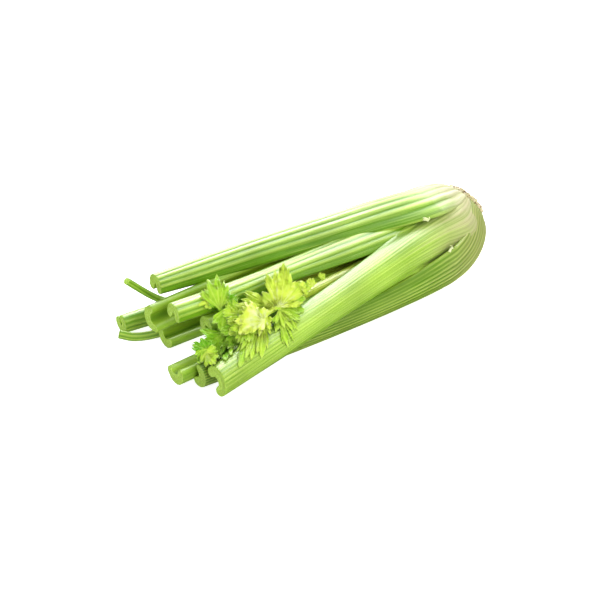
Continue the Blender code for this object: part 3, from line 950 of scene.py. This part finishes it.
@dataclass(frozen=True)
class SideStem:
    """A thin side stem through these points, cut off at its tip."""

    name: str
    points: tuple[tuple[float, float, float], ...]
    root_radius: float
    tip_radius: float
    flat: float = 1.0
    ribs: float = 7.0
    rib_share: float = 0.09
    edge: float = 0.4
    face_rings: int = 5
    map_width: float = 0.016
    steps: int = 12
    sides: int = 48

    def line(self) -> np.ndarray:
        """Points on the smooth curve through the given points.

        Each stretch is the cubic b (1 - 3tt + 2ttt) + c (3tt - 2ttt) + pull, whose pull makes it
        leave each point along the line between that point's neighbours.

        Returns:
            The points, steps to each stretch.
        """
        given = np.array(self.points, float)
        first, last = 2.0 * given[:1] - given[1:2], 2.0 * given[-1:] - given[-2:-1]
        ends = np.concatenate((first, given, last))
        t = (np.arange(self.steps) / self.steps)[None, :, None]
        a, b, c, d = (ends[at : len(ends) - 3 + at, None, :] for at in range(4))
        pull = 0.5 * ((c - a) * (t - 2 * t**2 + t**3) + (d - b) * (t**3 - t**2))
        line = b * (1 - 3 * t**2 + 2 * t**3) + c * (3 * t**2 - 2 * t**3) + pull
        return np.concatenate((line.reshape(-1, 3), given[-1:]))

    def skin(self) -> Skin:
        """Rings round the line, with soft ribs, and a rounded cut at the tip.

        The radius at an angle is 1 - rib_share (1 - (1 + cos(ribs angle)) / 2) of the line's own.

        Returns:
            The skin, with its marks ridge and cut.
        """
        line = self.line()
        way = np.gradient(line, axis=0)
        way /= np.linalg.norm(way, axis=1, keepdims=True)
        side = np.cross(way, (0.0, 0.0, 1.0))
        side /= np.linalg.norm(side, axis=1, keepdims=True)
        up = np.cross(side, way)
        share = np.linspace(0.0, 1.0, len(line))
        radius = blend(self.root_radius, self.tip_radius, share)
        bend = np.radians(EDGE_BENDS)
        tip = line[-1] + np.outer(self.edge * np.sin(bend), way[-1])
        inner = np.linspace(1.0, 0.0, self.face_rings + 1)[1:]
        tip = np.concatenate((tip, np.repeat(tip[-1:], len(inner), 0)))
        rounded = radius[-1] - self.edge * (1.0 - np.cos(bend))
        shrink = np.concatenate((rounded, inner * (radius[-1] - self.edge)))
        line = np.concatenate((line[:1], line, tip))
        radius = np.concatenate(([0.0], radius, shrink))
        side, up = (
            np.concatenate((v[:1], v, np.repeat(v[-1:], len(tip), 0))) for v in (side, up)
        )
        angle = np.arange(self.sides) * 2.0 * np.pi / self.sides
        rib = 0.5 + 0.5 * np.cos(self.ribs * angle + 0.6)
        reach = radius[:, None] * (1.0 - self.rib_share * (1.0 - rib)[None, :])
        grid = line[:, None, :] + (reach * np.cos(angle))[..., None] * side[:, None, :]
        grid = grid + (self.flat * reach * np.sin(angle))[..., None] * up[:, None, :]
        cut = np.zeros(reach.shape)
        cut[-len(inner) - 1 :] = 1.0
        across = np.linspace(0.0, 1.0, self.sides + 1) * self.map_width
        gap = np.linalg.norm(np.diff(line, axis=0), axis=1)
        length = np.concatenate(([0.0], np.cumsum(gap)))
        uv = np.stack(np.broadcast_arrays(across[None, :], length[:, None] * MM), axis=-1)
        skin = Skin(self.name)
        ridge = np.broadcast_to(0.75 * rib, reach.shape)
        skin.add(grid + HEAD_SHIFT, uv, wrap=True, ridge=ridge, cut=cut)
        return skin


STEMS = (
    SideStem("side_stem_high", ((40, 22, 32), (10, 34, 33), (-20, 38, 32), (-60, 39, 28),
             (-84, 44, 24), (-99, 53, 22.5), (-110, 60.5, 25.0), (-119, 63.2, 31.0),
             (-128, 62.8, 39.3), (-143, 59.8, 54.6)), 2.9, 2.8),
    SideStem("side_stem_low", ((-60, 42, 4.6), (-100, 49, 4.4), (-126, 53, 4.2),
             (-140, 59, 4.2), (-150, 65.0, 7.4)), 2.6, 2.5, flat=1.5),
)


# ---------------------------------------------------------------- leaves


class Heap:
    """How far everything laid down so far reaches one way, on a fine grid across that way."""

    EMPTY = -200.0
    ROUNDS = 3

    def __init__(
        self, way: tuple[float, float, float], cell: float = 1.0, cells: int = 420
    ) -> None:
        """Starts empty.

        Args:
            way: where everything is laid on from.
            cell: the size of the grid's cells, in millimetres.
            cells: how many of them there are each way.
        """
        self.way = np.array(way) / np.linalg.norm(way)
        side = np.cross((0.0, 0.0, 1.0), self.way)
        self.side = side / np.linalg.norm(side)
        self.rise = np.cross(self.way, self.side)
        self.cell, self.cells = cell, cells
        self.reach = np.full((cells, cells), self.EMPTY)

    def index(self, points: np.ndarray) -> tuple[np.ndarray, np.ndarray]:
        """The cell of each point.

        Args:
            points: places in millimetres, xyz last.

        Returns:
            Rows and columns.
        """
        at = np.stack((points @ self.side, points @ self.rise), axis=-1) / self.cell
        held = np.clip(np.round(at + 0.5 * self.cells).astype(int), 0, self.cells - 1)
        return held[..., 0], held[..., 1]

    def add(self, points: np.ndarray) -> None:
        """Lays points down, each on its own cell and the cells next to it.

        Args:
            points: places in millimetres, points x 3.
        """
        row, column = self.index(points)
        far = points @ self.way
        for step in np.ndindex(3, 3):
            near = np.clip(row + step[0] - 1, 0, None), np.clip(column + step[1] - 1, 0, None)
            near = np.minimum(near[0], self.cells - 1), np.minimum(near[1], self.cells - 1)
            np.maximum.at(self.reach, near, far)

    def clear(self, points: np.ndarray, gap: float) -> np.ndarray:
        """Pushes points out of the heap.

        The heap's dips are first evened out, each cell raised to the mean of its neighbours
        where most of them hold something.

        Args:
            points: places in millimetres, xyz last.
            gap: how far clear of the heap each should lie.

        Returns:
            The points, each moved towards the way by what it lacks.
        """
        soft = self.reach
        for _ in range(self.ROUNDS):
            near = np.pad(soft, 1, mode="edge")
            total = near[:-2, 1:-1] + near[2:, 1:-1] + near[1:-1, :-2] + near[1:-1, 2:]
            full = total > 2.0 * self.EMPTY
            soft = np.maximum(self.reach, np.where(full, 0.25 * total, self.reach))
        push = np.maximum(soft[self.index(points)] + gap - points @ self.way, 0.0)
        return points + push[..., None] * self.way


BLADE_RINGS = 15
RING_POWER = 0.85  # below 1, the rings lie closer towards the margin
BEHIND = 34.0  # degrees past the outermost lobes up to which the margin has many points
BEHIND_POINTS = 5
LEAST_REACH = 0.06  # of the margin, between lobes
LOBE_FALL = 0.28  # how much of a lobe's reach is gone at its half spread
LOBE_DROP = 1.7  # and how fast the rest goes after that
TOOTH_SHARE = 0.07  # height of a tooth over its lobe's reach
TOOTH_HEIGHT = 1.7  # and in millimetres on top
LOBE_SWAY = 9.0  # degrees by which the lobes' ends swing aside
SWAY_PITCH = 34.0
OUTER_FOLD = 40.0  # degrees from the outermost lobes to the crests beside them
PLEATS = 0.15
BLADE_GAP = 0.5  # how far clear of the heap a blade lies
BLADE_THICKNESS = 0.5
MARGIN_THICKNESS = 0.22
VEIN_WIDTH = 0.5
TWIG_PITCH = 2.6
TWIG_WIDTH = 0.4
TWIG_SPREAD = 0.35
STALK_RADII = 0.9, 0.5
STALK_SIDES = 16
STALK_STEPS = 24


@dataclass(frozen=True)
class Blade:
    """One toothed blade, a fan of pointed lobes about its base, on a thin stalk of its own.

    Attributes:
        base: its near end.
        tip: its far end.
        lobes: each lobe's turn from the line to the tip, its reach over the blade's length, and
            its half spread, with angles in degrees.
        up: the way that its upper side looks.
        fold: how steeply the lobes are folded along their veins.
        curl: how far the far end bends away.
        dome: how far every side does.
        ruffle: how far the margin waves.
        pucker: how high small blisters stand.
        tone: from -0.4, cream, and 0, yellow, to 1, dark green.
        root: where its stalk starts, if it has one.
        pitch: how far apart its teeth stand.
        columns: points round its lobes.
    """

    base: tuple[float, float, float]
    tip: tuple[float, float, float]
    lobes: tuple[tuple[float, float, float], ...]
    up: tuple[float, float, float] = (-5.0, -7.0, 6.0)
    fold: float = 0.30
    curl: float = 0.12
    dome: float = 0.0
    ruffle: float = 0.13
    pucker: float = 0.045
    tone: float = 0.4
    root: tuple[float, float, float] | None = None
    pitch: float = 2.6
    columns: int = 420
    seed: int = 1

    def shaken(self) -> list[tuple[float, float, float]]:
        """The lobes as grown.

        Returns:
            The lobes with a little chance in their turns, reaches and spreads.
        """
        rng = np.random.default_rng(self.seed + 100)
        chance = rng.uniform(-1.0, 1.0, (len(self.lobes), 3)) * (4.0, 0.07, 2.0)
        return [tuple(lobe) for lobe in np.array(self.lobes) + chance]

    def ways(self) -> tuple[np.ndarray, np.ndarray, np.ndarray, float]:
        """How the blade lies.

        Returns:
            The ways along, across and up from it, and its length.
        """
        base, tip, up = (np.array(v, float) for v in (self.base, self.tip, self.up))
        length = np.linalg.norm(tip - base)
        along = (tip - base) / length
        side = np.cross(up, along)
        side /= np.linalg.norm(side)
        return along, side, np.cross(along, side), length

    def turns(self) -> np.ndarray:
        """Where the margin's points are.

        Returns:
            Their turns in degrees, close together on the lobes and few behind them.
        """
        wide = min(max(abs(lobe[0]) for lobe in self.lobes) + BEHIND, 176.0)
        behind = np.linspace(wide, 180.0, BEHIND_POINTS + 2)[1:-1]
        return np.concatenate((-behind[::-1], np.linspace(-wide, wide, self.columns), behind))

    def outline(self, turn: np.ndarray, length: float) -> np.ndarray:
        """The blade's margin.

        Each lobe falls evenly from its reach on its axis, and stepped teeth that point outwards
        stand on both of its sides, one to each pitch of its arc.

        Args:
            turn: degrees from the line to the tip.
            length: the blade's length.

        Returns:
            Reach of the margin at each turn, over the length.
        """
        rng = np.random.default_rng(self.seed)
        best = np.full_like(turn, LEAST_REACH)
        for lobe_turn, reach, spread in self.shaken():
            away = np.abs((turn - lobe_turn + 180.0) % 360.0 - 180.0) / spread
            warp = rng.uniform(0.0, 6.0)
            teeth = max(math.radians(spread) * reach * length / self.pitch, 1.3)
            step = away * teeth + 0.22 * np.sin(7.0 * away + warp) + 0.12
            tooth = (1.0 - step % 1.0) * (0.7 + 0.3 * np.sin(2.3 * np.floor(step) + warp))
            tooth = tooth * (TOOTH_SHARE + TOOTH_HEIGHT / length)
            body = 1.0 - LOBE_FALL * np.minimum(away, 1.0) - LOBE_DROP * np.maximum(away - 1.0, 0.0)
            best = np.maximum(best, reach * (body + (tooth - 0.05) * smooth(away * 4.0)))
        return best

    def folds(self, turn: np.ndarray, share: np.ndarray) -> np.ndarray:
        """Place across the folds: 0 on each lobe's vein, 1 half-way between two, a little bent.

        Args:
            turn: the columns' turns.
            share: the rings' share of the way to the margin, rings x 1.

        Returns:
            The place, rings x columns.
        """
        axes = np.sort([lobe[0] for lobe in self.shaken()])
        gaps = 0.5 * (axes[1:] + axes[:-1])
        knots = np.concatenate(([axes[0] - OUTER_FOLD], axes, gaps, [axes[-1] + OUTER_FOLD]))
        level = np.concatenate(([1.0], np.zeros(len(axes)), np.ones(len(gaps)), [1.0]))
        order = np.argsort(knots)
        bent = turn[None, :] + 5.0 * np.sin(4.0 * share + self.seed) * share
        return np.interp(bent, knots[order], level[order])

    def height(
        self, at: tuple[np.ndarray, np.ndarray], far: np.ndarray, share: np.ndarray,
        wave: np.ndarray,
    ) -> np.ndarray:
        """How high the blade stands over its flat fan.

        The fold, a wave with its troughs on the veins, less the square of the way along, less
        the square of the way from the middle, plus the ruffle, which grows towards the margin,
        and the blisters.

        Args:
            at: places along and across the blade.
            far: distance from its base.
            share: the rings' share of the way to the margin.
            wave: place across the folds.

        Returns:
            The height, rings x columns.
        """
        a, b = at
        length = self.ways()[3]
        slope = math.sin(math.radians(float(np.mean([lobe[2] for lobe in self.lobes]))))
        height = self.fold * far * slope * np.sin(0.5 * np.pi * wave)
        height = height + PLEATS * self.fold * far * slope * np.sin(9.0 * wave)
        height = height - self.curl * length * (np.maximum(a, 0.0) / length) ** 2
        height = height - self.dome * ((a - 0.45 * length) ** 2 + b**2) / length
        height = height + self.dome * 0.2 * length
        seen = np.stack((a, b, np.full_like(a, 9.0 * self.seed)), axis=-1)
        rough = grain(seen, 0.16 * length, self.seed)
        rough = rough + 0.5 * grain(seen, 0.08 * length, self.seed + 1)
        height = height + self.ruffle * length * rough * share**1.5
        return height + self.pucker * length * np.abs(grain(seen, 0.055 * length, self.seed + 2))

    def veins(self, turn: np.ndarray, far: np.ndarray) -> np.ndarray:
        """How far each point is vein: a line down each lobe, and twigs off both of its sides.

        Args:
            turn: the columns' turns.
            far: distance from the base, rings x columns.

        Returns:
            exp(-(distance / width)^2) for the nearest line or, weaker, the nearest twig.
        """
        length = self.ways()[3]
        vein = np.zeros_like(far)
        for lobe_turn, reach, _ in self.shaken():
            away = np.radians((turn - lobe_turn + 180.0) % 360.0 - 180.0)[None, :]
            off, on = far * np.sin(np.abs(away)), far * np.cos(away)
            line = 0.7 * np.exp(-((off / VEIN_WIDTH) ** 2)) * (on > 0.0)
            line = line * (on < 0.96 * reach * length)
            branch = ((on - 0.9 * off) / TWIG_PITCH) % 1.0 - 0.5
            twig = 0.3 * np.exp(-((branch * TWIG_PITCH / TWIG_WIDTH) ** 2))
            twig = twig * (np.abs(away) < TWIG_SPREAD) * (on > 0.0)
            vein = np.maximum(vein, np.maximum(line, twig * smooth(off / 0.8)))
        return vein

    def skin_on(self, skin: Skin, heap: Heap) -> None:
        """Adds the blade to a skin, laid on the heap, and then to the heap.

        The blade is a polar grid: each ring is the margin drawn in towards the base.

        Args:
            skin: the leaf that it is part of.
            heap: what it lies on.
        """
        along, side, up, length = self.ways()
        turn = self.turns()
        share = (np.linspace(0.0, 1.0, BLADE_RINGS) ** RING_POWER)[:, None]
        far = share * (self.outline(turn, length)[None, :] * length)
        sway = np.stack((turn / SWAY_PITCH, turn * 0.0, turn * 0.0 + self.seed), axis=-1)
        drift = LOBE_SWAY * share**2 * grain(sway, 1.0, self.seed + 5)[None, :]
        angle = np.radians(turn[None, :] + drift)
        a, b = far * np.cos(angle), far * np.sin(angle)
        wave = self.folds(turn, share)
        height = self.height((a, b), far, share, wave)[..., None]
        top = np.array(self.base) + a[..., None] * along + b[..., None] * side + height * up
        top = heap.clear(top, BLADE_GAP)
        under = top - blend(BLADE_THICKNESS, MARGIN_THICKNESS, share)[..., None] * up
        marks = {
            "vein": self.veins(turn, far),
            "tone": self.tone + 0.30 * (share - 0.6) + 0.12 * wave,
            "edge": smooth((share - 0.9) / 0.1) + np.zeros_like(far),
        }
        both = {name: np.concatenate((mark, mark[::-1])) for name, mark in marks.items()}
        skin.add(np.concatenate((top, under[::-1])) + HEAD_SHIFT, wrap=True, **both)
        heap.add(top[:, ::3].reshape(-1, 3))

    def stalk_on(self, skin: Skin, heap: Heap) -> None:
        """Adds the thin stalk, a tube on a smooth curve from the root into the blade.

        Args:
            skin: the leaf that it is part of.
            heap: what it lies on.
        """
        root, base, tip = (np.array(v, float) for v in (self.root, self.base, self.tip))
        end = blend(base, tip, 0.06)
        way = (tip - base) / np.linalg.norm(tip - base)
        bend = end - 0.35 * np.linalg.norm(end - root) * way
        t = np.linspace(0.0, 1.0, STALK_STEPS)[:, None]
        line = root * (1.0 - t) ** 2 + 2.0 * bend * t * (1.0 - t) + end * t**2
        run = np.gradient(line, axis=0)
        run /= np.linalg.norm(run, axis=1, keepdims=True)
        side = np.cross(run, (0.1, 0.2, 1.0))
        side /= np.linalg.norm(side, axis=1, keepdims=True)
        over = np.cross(side, run)
        radius = blend(*STALK_RADII, t[:, 0])
        radius[[0, -1]] = 0.0
        angle = (np.arange(STALK_SIDES) * 2.0 * np.pi / STALK_SIDES)[None, :, None]
        ring = np.cos(angle) * side[:, None] + np.sin(angle) * over[:, None]
        grid = line[:, None, :] + radius[:, None, None] * ring
        marks = {"vein": 0.55, "tone": 0.25, "edge": 0.0}
        flat = {name: np.full(grid.shape[:2], mark) for name, mark in marks.items()}
        skin.add(heap.clear(grid, 0.0) + HEAD_SHIFT, wrap=True, **flat)
        heap.add(grid.reshape(-1, 3))


def leaf_skins(leaves: dict[str, tuple[Blade, ...]], heap: Heap) -> list[Skin]:
    """Lays leaves on the heap, all of their stalks first and then their blades in turn.

    Args:
        leaves: each leaf's blades under its name.
        heap: what they lie on.

    Returns:
        A skin for each leaf.
    """
    skins = [Skin(name) for name in leaves]
    for skin, blades in zip(skins, leaves.values()):
        for blade in blades:
            if blade.root is not None:
                blade.stalk_on(skin, heap)
    for skin, blades in zip(skins, leaves.values()):
        for blade in blades:
            blade.skin_on(skin, heap)
    return skins


LAID_FROM = (-0.53, -0.68, 0.51)  # the way from which the leaves are laid on the stalks
FAN = ((0.0, 1.0, 19.0), (36.0, 0.9, 18.0), (-36.0, 0.9, 18.0), (72.0, 0.65, 22.0),
       (-72.0, 0.65, 22.0))
STAR = ((0.0, 1.0, 23.0), (46.0, 0.85, 24.0), (-46.0, 0.85, 24.0), (94.0, 0.7, 25.0),
        (-94.0, 0.7, 25.0), (140.0, 0.45, 25.0), (-140.0, 0.45, 25.0))
LEAVES = {
    "leaf_back": (
        Blade((-104.1, 1.2, 50.6), (-111.0, 10.4, 55.7), FAN, tone=0.1, seed=3),
        Blade((-101.3, -3.7, 44.9), (-93.1, 0.9, 59.6), FAN, tone=0.75, seed=35),
        Blade(
            (-102.4, -3.9, 45.5), (-98.0, 8.9, 67.2),
            ((0, 1.0, 9), (16, 0.92, 9), (31, 0.76, 11), (-17, 0.9, 9), (-34, 0.74, 11),
             (-54, 0.42, 13)),
            tone=0.5, root=(-92.0, -16.0, 38.0), fold=0.28, seed=2,
        ),
    ),
    "leaf_low": (
        Blade(
            (-109.1, -16.6, 33.3), (-122.2, -20.2, 14.9),
            ((0, 1.0, 18), (30, 0.85, 16), (52, 0.6, 16), (-35, 0.78, 20), (-72, 0.72, 20)),
            tone=0.72, root=(-96.0, -20.0, 42.0), fold=0.4, seed=4,
        ),
        Blade(
            (-104.9, -21.1, 35.7), (-113.9, -26.5, 19.2),
            ((0, 1.0, 11), (22, 0.8, 11), (-22, 0.8, 11)),
            tone=0.62, seed=36,
        ),
    ),
    "leaf_small": (
        Blade((-125.8, -19.7, 27.6), (-133.0, -12.3, 30.1), STAR, tone=0.95, seed=5),
        Blade((-129.5, -20.1, 29.2), (-130.3, -27.0, 19.1), FAN, tone=0.6, seed=6),
        Blade((-128.0, -21.6, 26.8), (-124.4, -30.0, 19.2), FAN, tone=0.3, seed=37),
    ),
    "leaf_middle": (
        Blade((-62.0, -29.2, 45.9), (-47.8, -36.4, 51.0), FAN, tone=0.5, seed=8),
        Blade(
            (-66.5, -31.5, 46.1), (-57.8, -44.5, 37.8),
            ((0, 1.0, 13), (22, 0.9, 12), (-22, 0.85, 13), (-42, 0.7, 13), (-64, 0.8, 14),
             (44, 0.6, 13)),
            tone=0.48, fold=0.28, seed=28,
        ),
        Blade((-66.2, -27.4, 44.9), (-63.7, -19.3, 58.3), FAN, tone=0.35, seed=38),
        Blade(
            (-65.4, -27.5, 44.6), (-48.3, -20.2, 72.2),
            ((0, 1.0, 15), (22, 0.86, 13), (42, 0.74, 13), (62, 0.5, 13), (-20, 0.84, 13),
             (-40, 0.74, 13), (-62, 0.5, 13)),
            tone=0.0, root=(-52.0, -31.0, 46.0), fold=0.22, curl=0.0, pitch=2.2, seed=7,
        ),
    ),
    "leaf_hanging": (
        Blade(
            (-69.3, -33.9, 45.7), (-75.1, -46.1, 23.4),
            ((0, 1.0, 7), (20, 0.95, 7), (-15, 0.6, 8), (38, 0.7, 9), (-34, 0.45, 10),
             (58, 0.5, 10)),
            tone=0.4, root=(-55.0, -32.0, 46.0), seed=9,
        ),
        Blade(
            (-68.9, -32.2, 46.5), (-67.3, -44.5, 31.8),
            ((0, 1.0, 8), (20, 0.8, 8), (-20, 0.8, 8), (42, 0.6, 10), (-42, 0.5, 10)),
            tone=0.3, seed=39,
        ),
    ),
    "leaf_left": (
        Blade(
            (-102.9, -13.9, 51.3), (-113.8, -18.2, 34.2),
            ((0, 1.0, 16), (32, 0.7, 16), (-32, 0.7, 16)),
            tone=0.6, seed=11,
        ),
        Blade((-97.7, -20.3, 48.1), (-102.5, -9.6, 53.4), FAN, tone=0.3, seed=13),
        Blade(
            (-67.4, -26.4, 44.0), (-81.6, -7.2, 54.9),
            ((0, 1.0, 11), (15, 1.05, 10), (29, 1.12, 10), (43, 1.05, 11), (-16, 0.6, 13),
             (58, 0.6, 12)),
            tone=0.12, root=(-55.0, -31.0, 46.0), fold=0.24, pitch=2.2, seed=10,
        ),
    ),
    "leaf_drooping": (
        Blade((-99.4, -27.5, 42.8), (-113.7, -26.7, 28.9), FAN, tone=0.68, seed=40),
        Blade((-94.8, -31.2, 44.6), (-110.0, -24.5, 37.6), FAN, tone=0.15, ruffle=0.22, seed=33),
        Blade(
            (-95.1, -34.0, 44.4), (-111.4, -40.6, 18.6),
            ((0, 1.0, 8), (13, 0.85, 7), (-13, 0.8, 7), (-30, 0.55, 9)),
            tone=0.5, fold=0.3, seed=19,
        ),
        Blade(
            (-91.8, -35.7, 45.6), (-105.3, -43.5, 21.1),
            ((0, 1.0, 7), (13, 0.9, 7), (-13, 0.85, 7)),
            tone=0.3, fold=0.3, seed=22,
        ),
        Blade(
            (-87.5, -38.5, 46.2), (-96.7, -47.9, 24.2),
            ((0, 1.0, 7), (12, 0.85, 7), (-13, 0.95, 7), (26, 0.5, 8)),
            tone=0.2, root=(-72.0, -34.0, 48.0), fold=0.3, seed=12,
        ),
    ),
    "leaf_curled": (
        Blade((-97.9, -33.0, 46.7), (-109.7, -32.8, 34.8), FAN, tone=0.35, ruffle=0.22, seed=34),
        Blade((-92.4, -36.7, 51.5), (-103.4, -34.3, 45.1), FAN, tone=-0.15, ruffle=0.2, seed=41),
        Blade((-88.4, -38.6, 49.2), (-92.6, -44.0, 41.5), FAN, tone=-0.05, ruffle=0.2, seed=42),
        Blade(
            (-86.9, -39.0, 46.2), (-103.5, -18.4, 48.5),
            ((0, 0.9, 17), (26, 0.82, 16), (-24, 0.8, 16), (50, 0.56, 17), (-48, 0.5, 17),
             (80, 0.4, 18), (-80, 0.4, 18)),
            tone=-0.12, fold=0.22, dome=0.6, ruffle=0.19, pucker=0.06, pitch=1.8,
            root=(-66.0, -33.0, 47.0), seed=14,
        ),
    ),
}
SCRAPS = (
    Blade((-35.1, -30.1, 53.0), (-36.5, -25.7, 57.6), FAN, tone=0.0, pucker=0.08, seed=15),
    Blade((-26.9, -28.2, 56.2), (-23.6, -28.9, 58.8), FAN, tone=0.1, pucker=0.08, seed=16),
    Blade((-45.8, -30.3, 53.5), (-40.0, -31.4, 58.0), FAN, tone=0.1, pucker=0.08, seed=17),
)
# Torn skin where the stalks part from the crown
SLIVER = ((0.0, 1.0, 15.0), (38.0, 0.5, 16.0), (-70.0, 0.3, 20.0))
MEMBRANES = (
    Blade((104.0, -1.9, 50.6), (99.0, 0.6, 51.4), SLIVER, tone=-0.5, pucker=0.06, seed=21),
    Blade((103.0, -0.9, 49.6), (100.0, -0.3, 52.0), SLIVER, tone=-0.5, pucker=0.06, seed=22),
    Blade((116.0, -15.5, 28.3), (112.0, -16.5, 24.0), SLIVER, tone=-0.5, pucker=0.06, seed=23),
)


# ---------------------------------------------------------------- stage


@dataclass(frozen=True)
class Lamp:
    """A square soft light that looks at the head.

    Attributes:
        shine: whether it shows in gloss.
        lit: whether it lights what isn't glossy.
    """

    name: str
    place: tuple[float, float, float]
    size: float
    power: float
    shine: bool = True
    lit: bool = True

    def hang(self) -> None:
        """Puts the light into the scene."""
        data = bpy.data.lights.new(self.name, "AREA")
        data.size, data.energy = self.size, self.power
        made = bpy.data.objects.new(self.name, data)
        made.location = self.place
        made.rotation_euler = (-Vector(self.place)).to_track_quat("-Z", "Y").to_euler()
        made.visible_glossy, made.visible_diffuse = self.shine, self.lit
        bpy.context.scene.collection.objects.link(made)


@dataclass(frozen=True)
class Studio:
    """Pale floor, white room, soft lights and the camera, which looks at the aim."""

    aim: tuple[float, float, float] = (-0.01546, 0.00496, 0.00941)
    azimuth: float = -38.0
    elevation: float = 31.0
    distance: float = 1.10
    lens: float = 82.5
    sensor: float = 36.0
    floor_half: float = 6.0
    floor_glow: float = 0.86
    room_glow: float = 0.31
    lamps: tuple[Lamp, ...] = (
        Lamp("behind", (0.85, 1.00, 1.05), 1.5, 43.0),
        Lamp("sheen", (0.80, 1.05, 1.10), 1.5, 42.0, lit=False),
        Lamp("high_sheen", (1.00, 0.08, 1.60), 1.0, 26.0, lit=False),
        Lamp("overhead", (-0.25, 0.15, 1.80), 1.2, 15.0),
        Lamp("side", (-1.40, -0.60, 0.90), 1.2, 8.0, shine=False),
        Lamp("front", (0.10, -1.5, 1.0), 1.2, 30.0, shine=False),
    )

    def floor(self) -> None:
        """A wide pale floor."""
        mesh = bpy.data.meshes.new("floor")
        corners = [(x * self.floor_half, y * self.floor_half, 0.0)
                   for x, y in ((-1, -1), (1, -1), (1, 1), (-1, 1))]
        mesh.from_pydata(corners, [], [(0, 1, 2, 3)])
        paint = Paint("pale_floor")
        cloud = paint.noise(paint.place(), 3.0)
        paint.shade(Base_Color=paint.mix(cloud, colour("c6c6c6"), colour("cacaca")), Roughness=0.9)
        paint.shade(Emission_Color=colour("ffffff"), Emission_Strength=self.floor_glow)
        mesh.materials.append(paint.material)
        made = bpy.data.objects.new("floor", mesh)
        bpy.context.scene.collection.objects.link(made)
        made.visible_glossy = False

    def lights(self) -> None:
        """The lamps, and a white room that doesn't show in gloss."""
        for lamp in self.lamps:
            lamp.hang()
        world = bpy.data.worlds.new("room")
        bpy.context.scene.world = world
        world.use_nodes = True
        world.cycles_visibility.glossy = False
        glow = world.node_tree.nodes["Background"].inputs
        glow[0].default_value = (1.0, 1.0, 1.0, 1.0)
        glow[1].default_value = self.room_glow
        bpy.context.scene.view_settings.view_transform = "Standard"

    def camera(self) -> None:
        """The camera, looking at the aim from this azimuth and elevation."""
        data = bpy.data.cameras.new("camera")
        data.lens, data.sensor_width = self.lens, self.sensor
        data.clip_start, data.clip_end = 0.01, 50.0
        made = bpy.data.objects.new("camera", data)
        turn, rise = math.radians(self.azimuth), math.radians(self.elevation)
        level = math.cos(rise)
        back = Vector((math.sin(turn) * level, -math.cos(turn) * level, math.sin(rise)))
        looking = back.to_track_quat("Z", "Y").to_matrix().to_4x4()
        made.matrix_world = Matrix.Translation(Vector(self.aim) + self.distance * back) @ looking
        bpy.context.scene.collection.objects.link(made)
        bpy.context.scene.camera = made


# Each finish's second hollow colour is a darker green painted into the hollow's middle as shade.
GREEN = StalkFinish(
    "stalk_green", valley="5f8d08", crest="a6c24a", hollow="88ac1c", hollow_shade_colour="66900c",
    cut="84aa1c", cut_rim="b4d45c", root="b8b494", root_valley="90945a",
)
HEART = StalkFinish(
    "heart_pale", valley="8ca41c", crest="c4d058", hollow="acc038", hollow_shade_colour="94b020",
    cut="98b038", cut_rim="bcd070", root="dcd4a8", root_valley="b8ac70",
)
OWN_FINISHES = {
    # outer_stalk_top: a copy of GREEN whose paler crests are a painted highlight, the sheen along
    # its top ribs, with darker valleys
    "outer_stalk_top": replace(GREEN, name="stalk_top_painted_sheen", valley="568604", crest="b6ce60"),
    # outer_stalk_front: a darker copy of GREEN all over, painted shade for this front-facing stalk
    "outer_stalk_front": replace(
        GREEN, name="stalk_front_painted_shade", valley="507608", crest="9cb04c", cut="7a9e20",
        cut_rim="accb58", root="b0ac70", root_valley="80883c",
    ),
    "inner_stalk_front": replace(
        GREEN, name="stalk_front_green", valley="628f0a", crest="aac650", root="aca67c",
        root_valley="8a8e54",
    ),
}


def main() -> None:
    """Builds every piece in order and writes the sizes."""
    logging.basicConfig(level=logging.INFO, format="%(name)s %(message)s", stream=sys.stdout)
    studio = Studio()
    studio.camera()
    studio.lights()
    studio.floor()
    settle(RootCrown().skin().build(CrownFinish().material()), "root_crown")
    green, heart, leafy = GREEN.material(), HEART.material(), LeafFinish().material()
    own = {name: finish.material() for name, finish in OWN_FINISHES.items()}
    heap = Heap(LAID_FROM)
    for stalk in STALKS:
        inner = stalk.layer == len(LAYERS) - 1
        skin = stalk.skin()
        heap.add(skin.points() - HEAD_SHIFT)
        piece = skin.build(heart if inner else own.get(stalk.name, green))
        settle(piece, stalk.name)
    for stem in STEMS:
        settle(stem.skin().build(green), stem.name)
    for skin in leaf_skins(LEAVES, heap):
        settle(skin.build(leafy), skin.name)
    scraps, membranes = leaf_skins({"leaf_scraps": SCRAPS, "torn_membranes": MEMBRANES}, heap)
    settle(scraps.build(leafy))
    settle(membranes.build(leafy))
    bpy.context.view_layer.update()


if __name__ == "__main__":
    main()
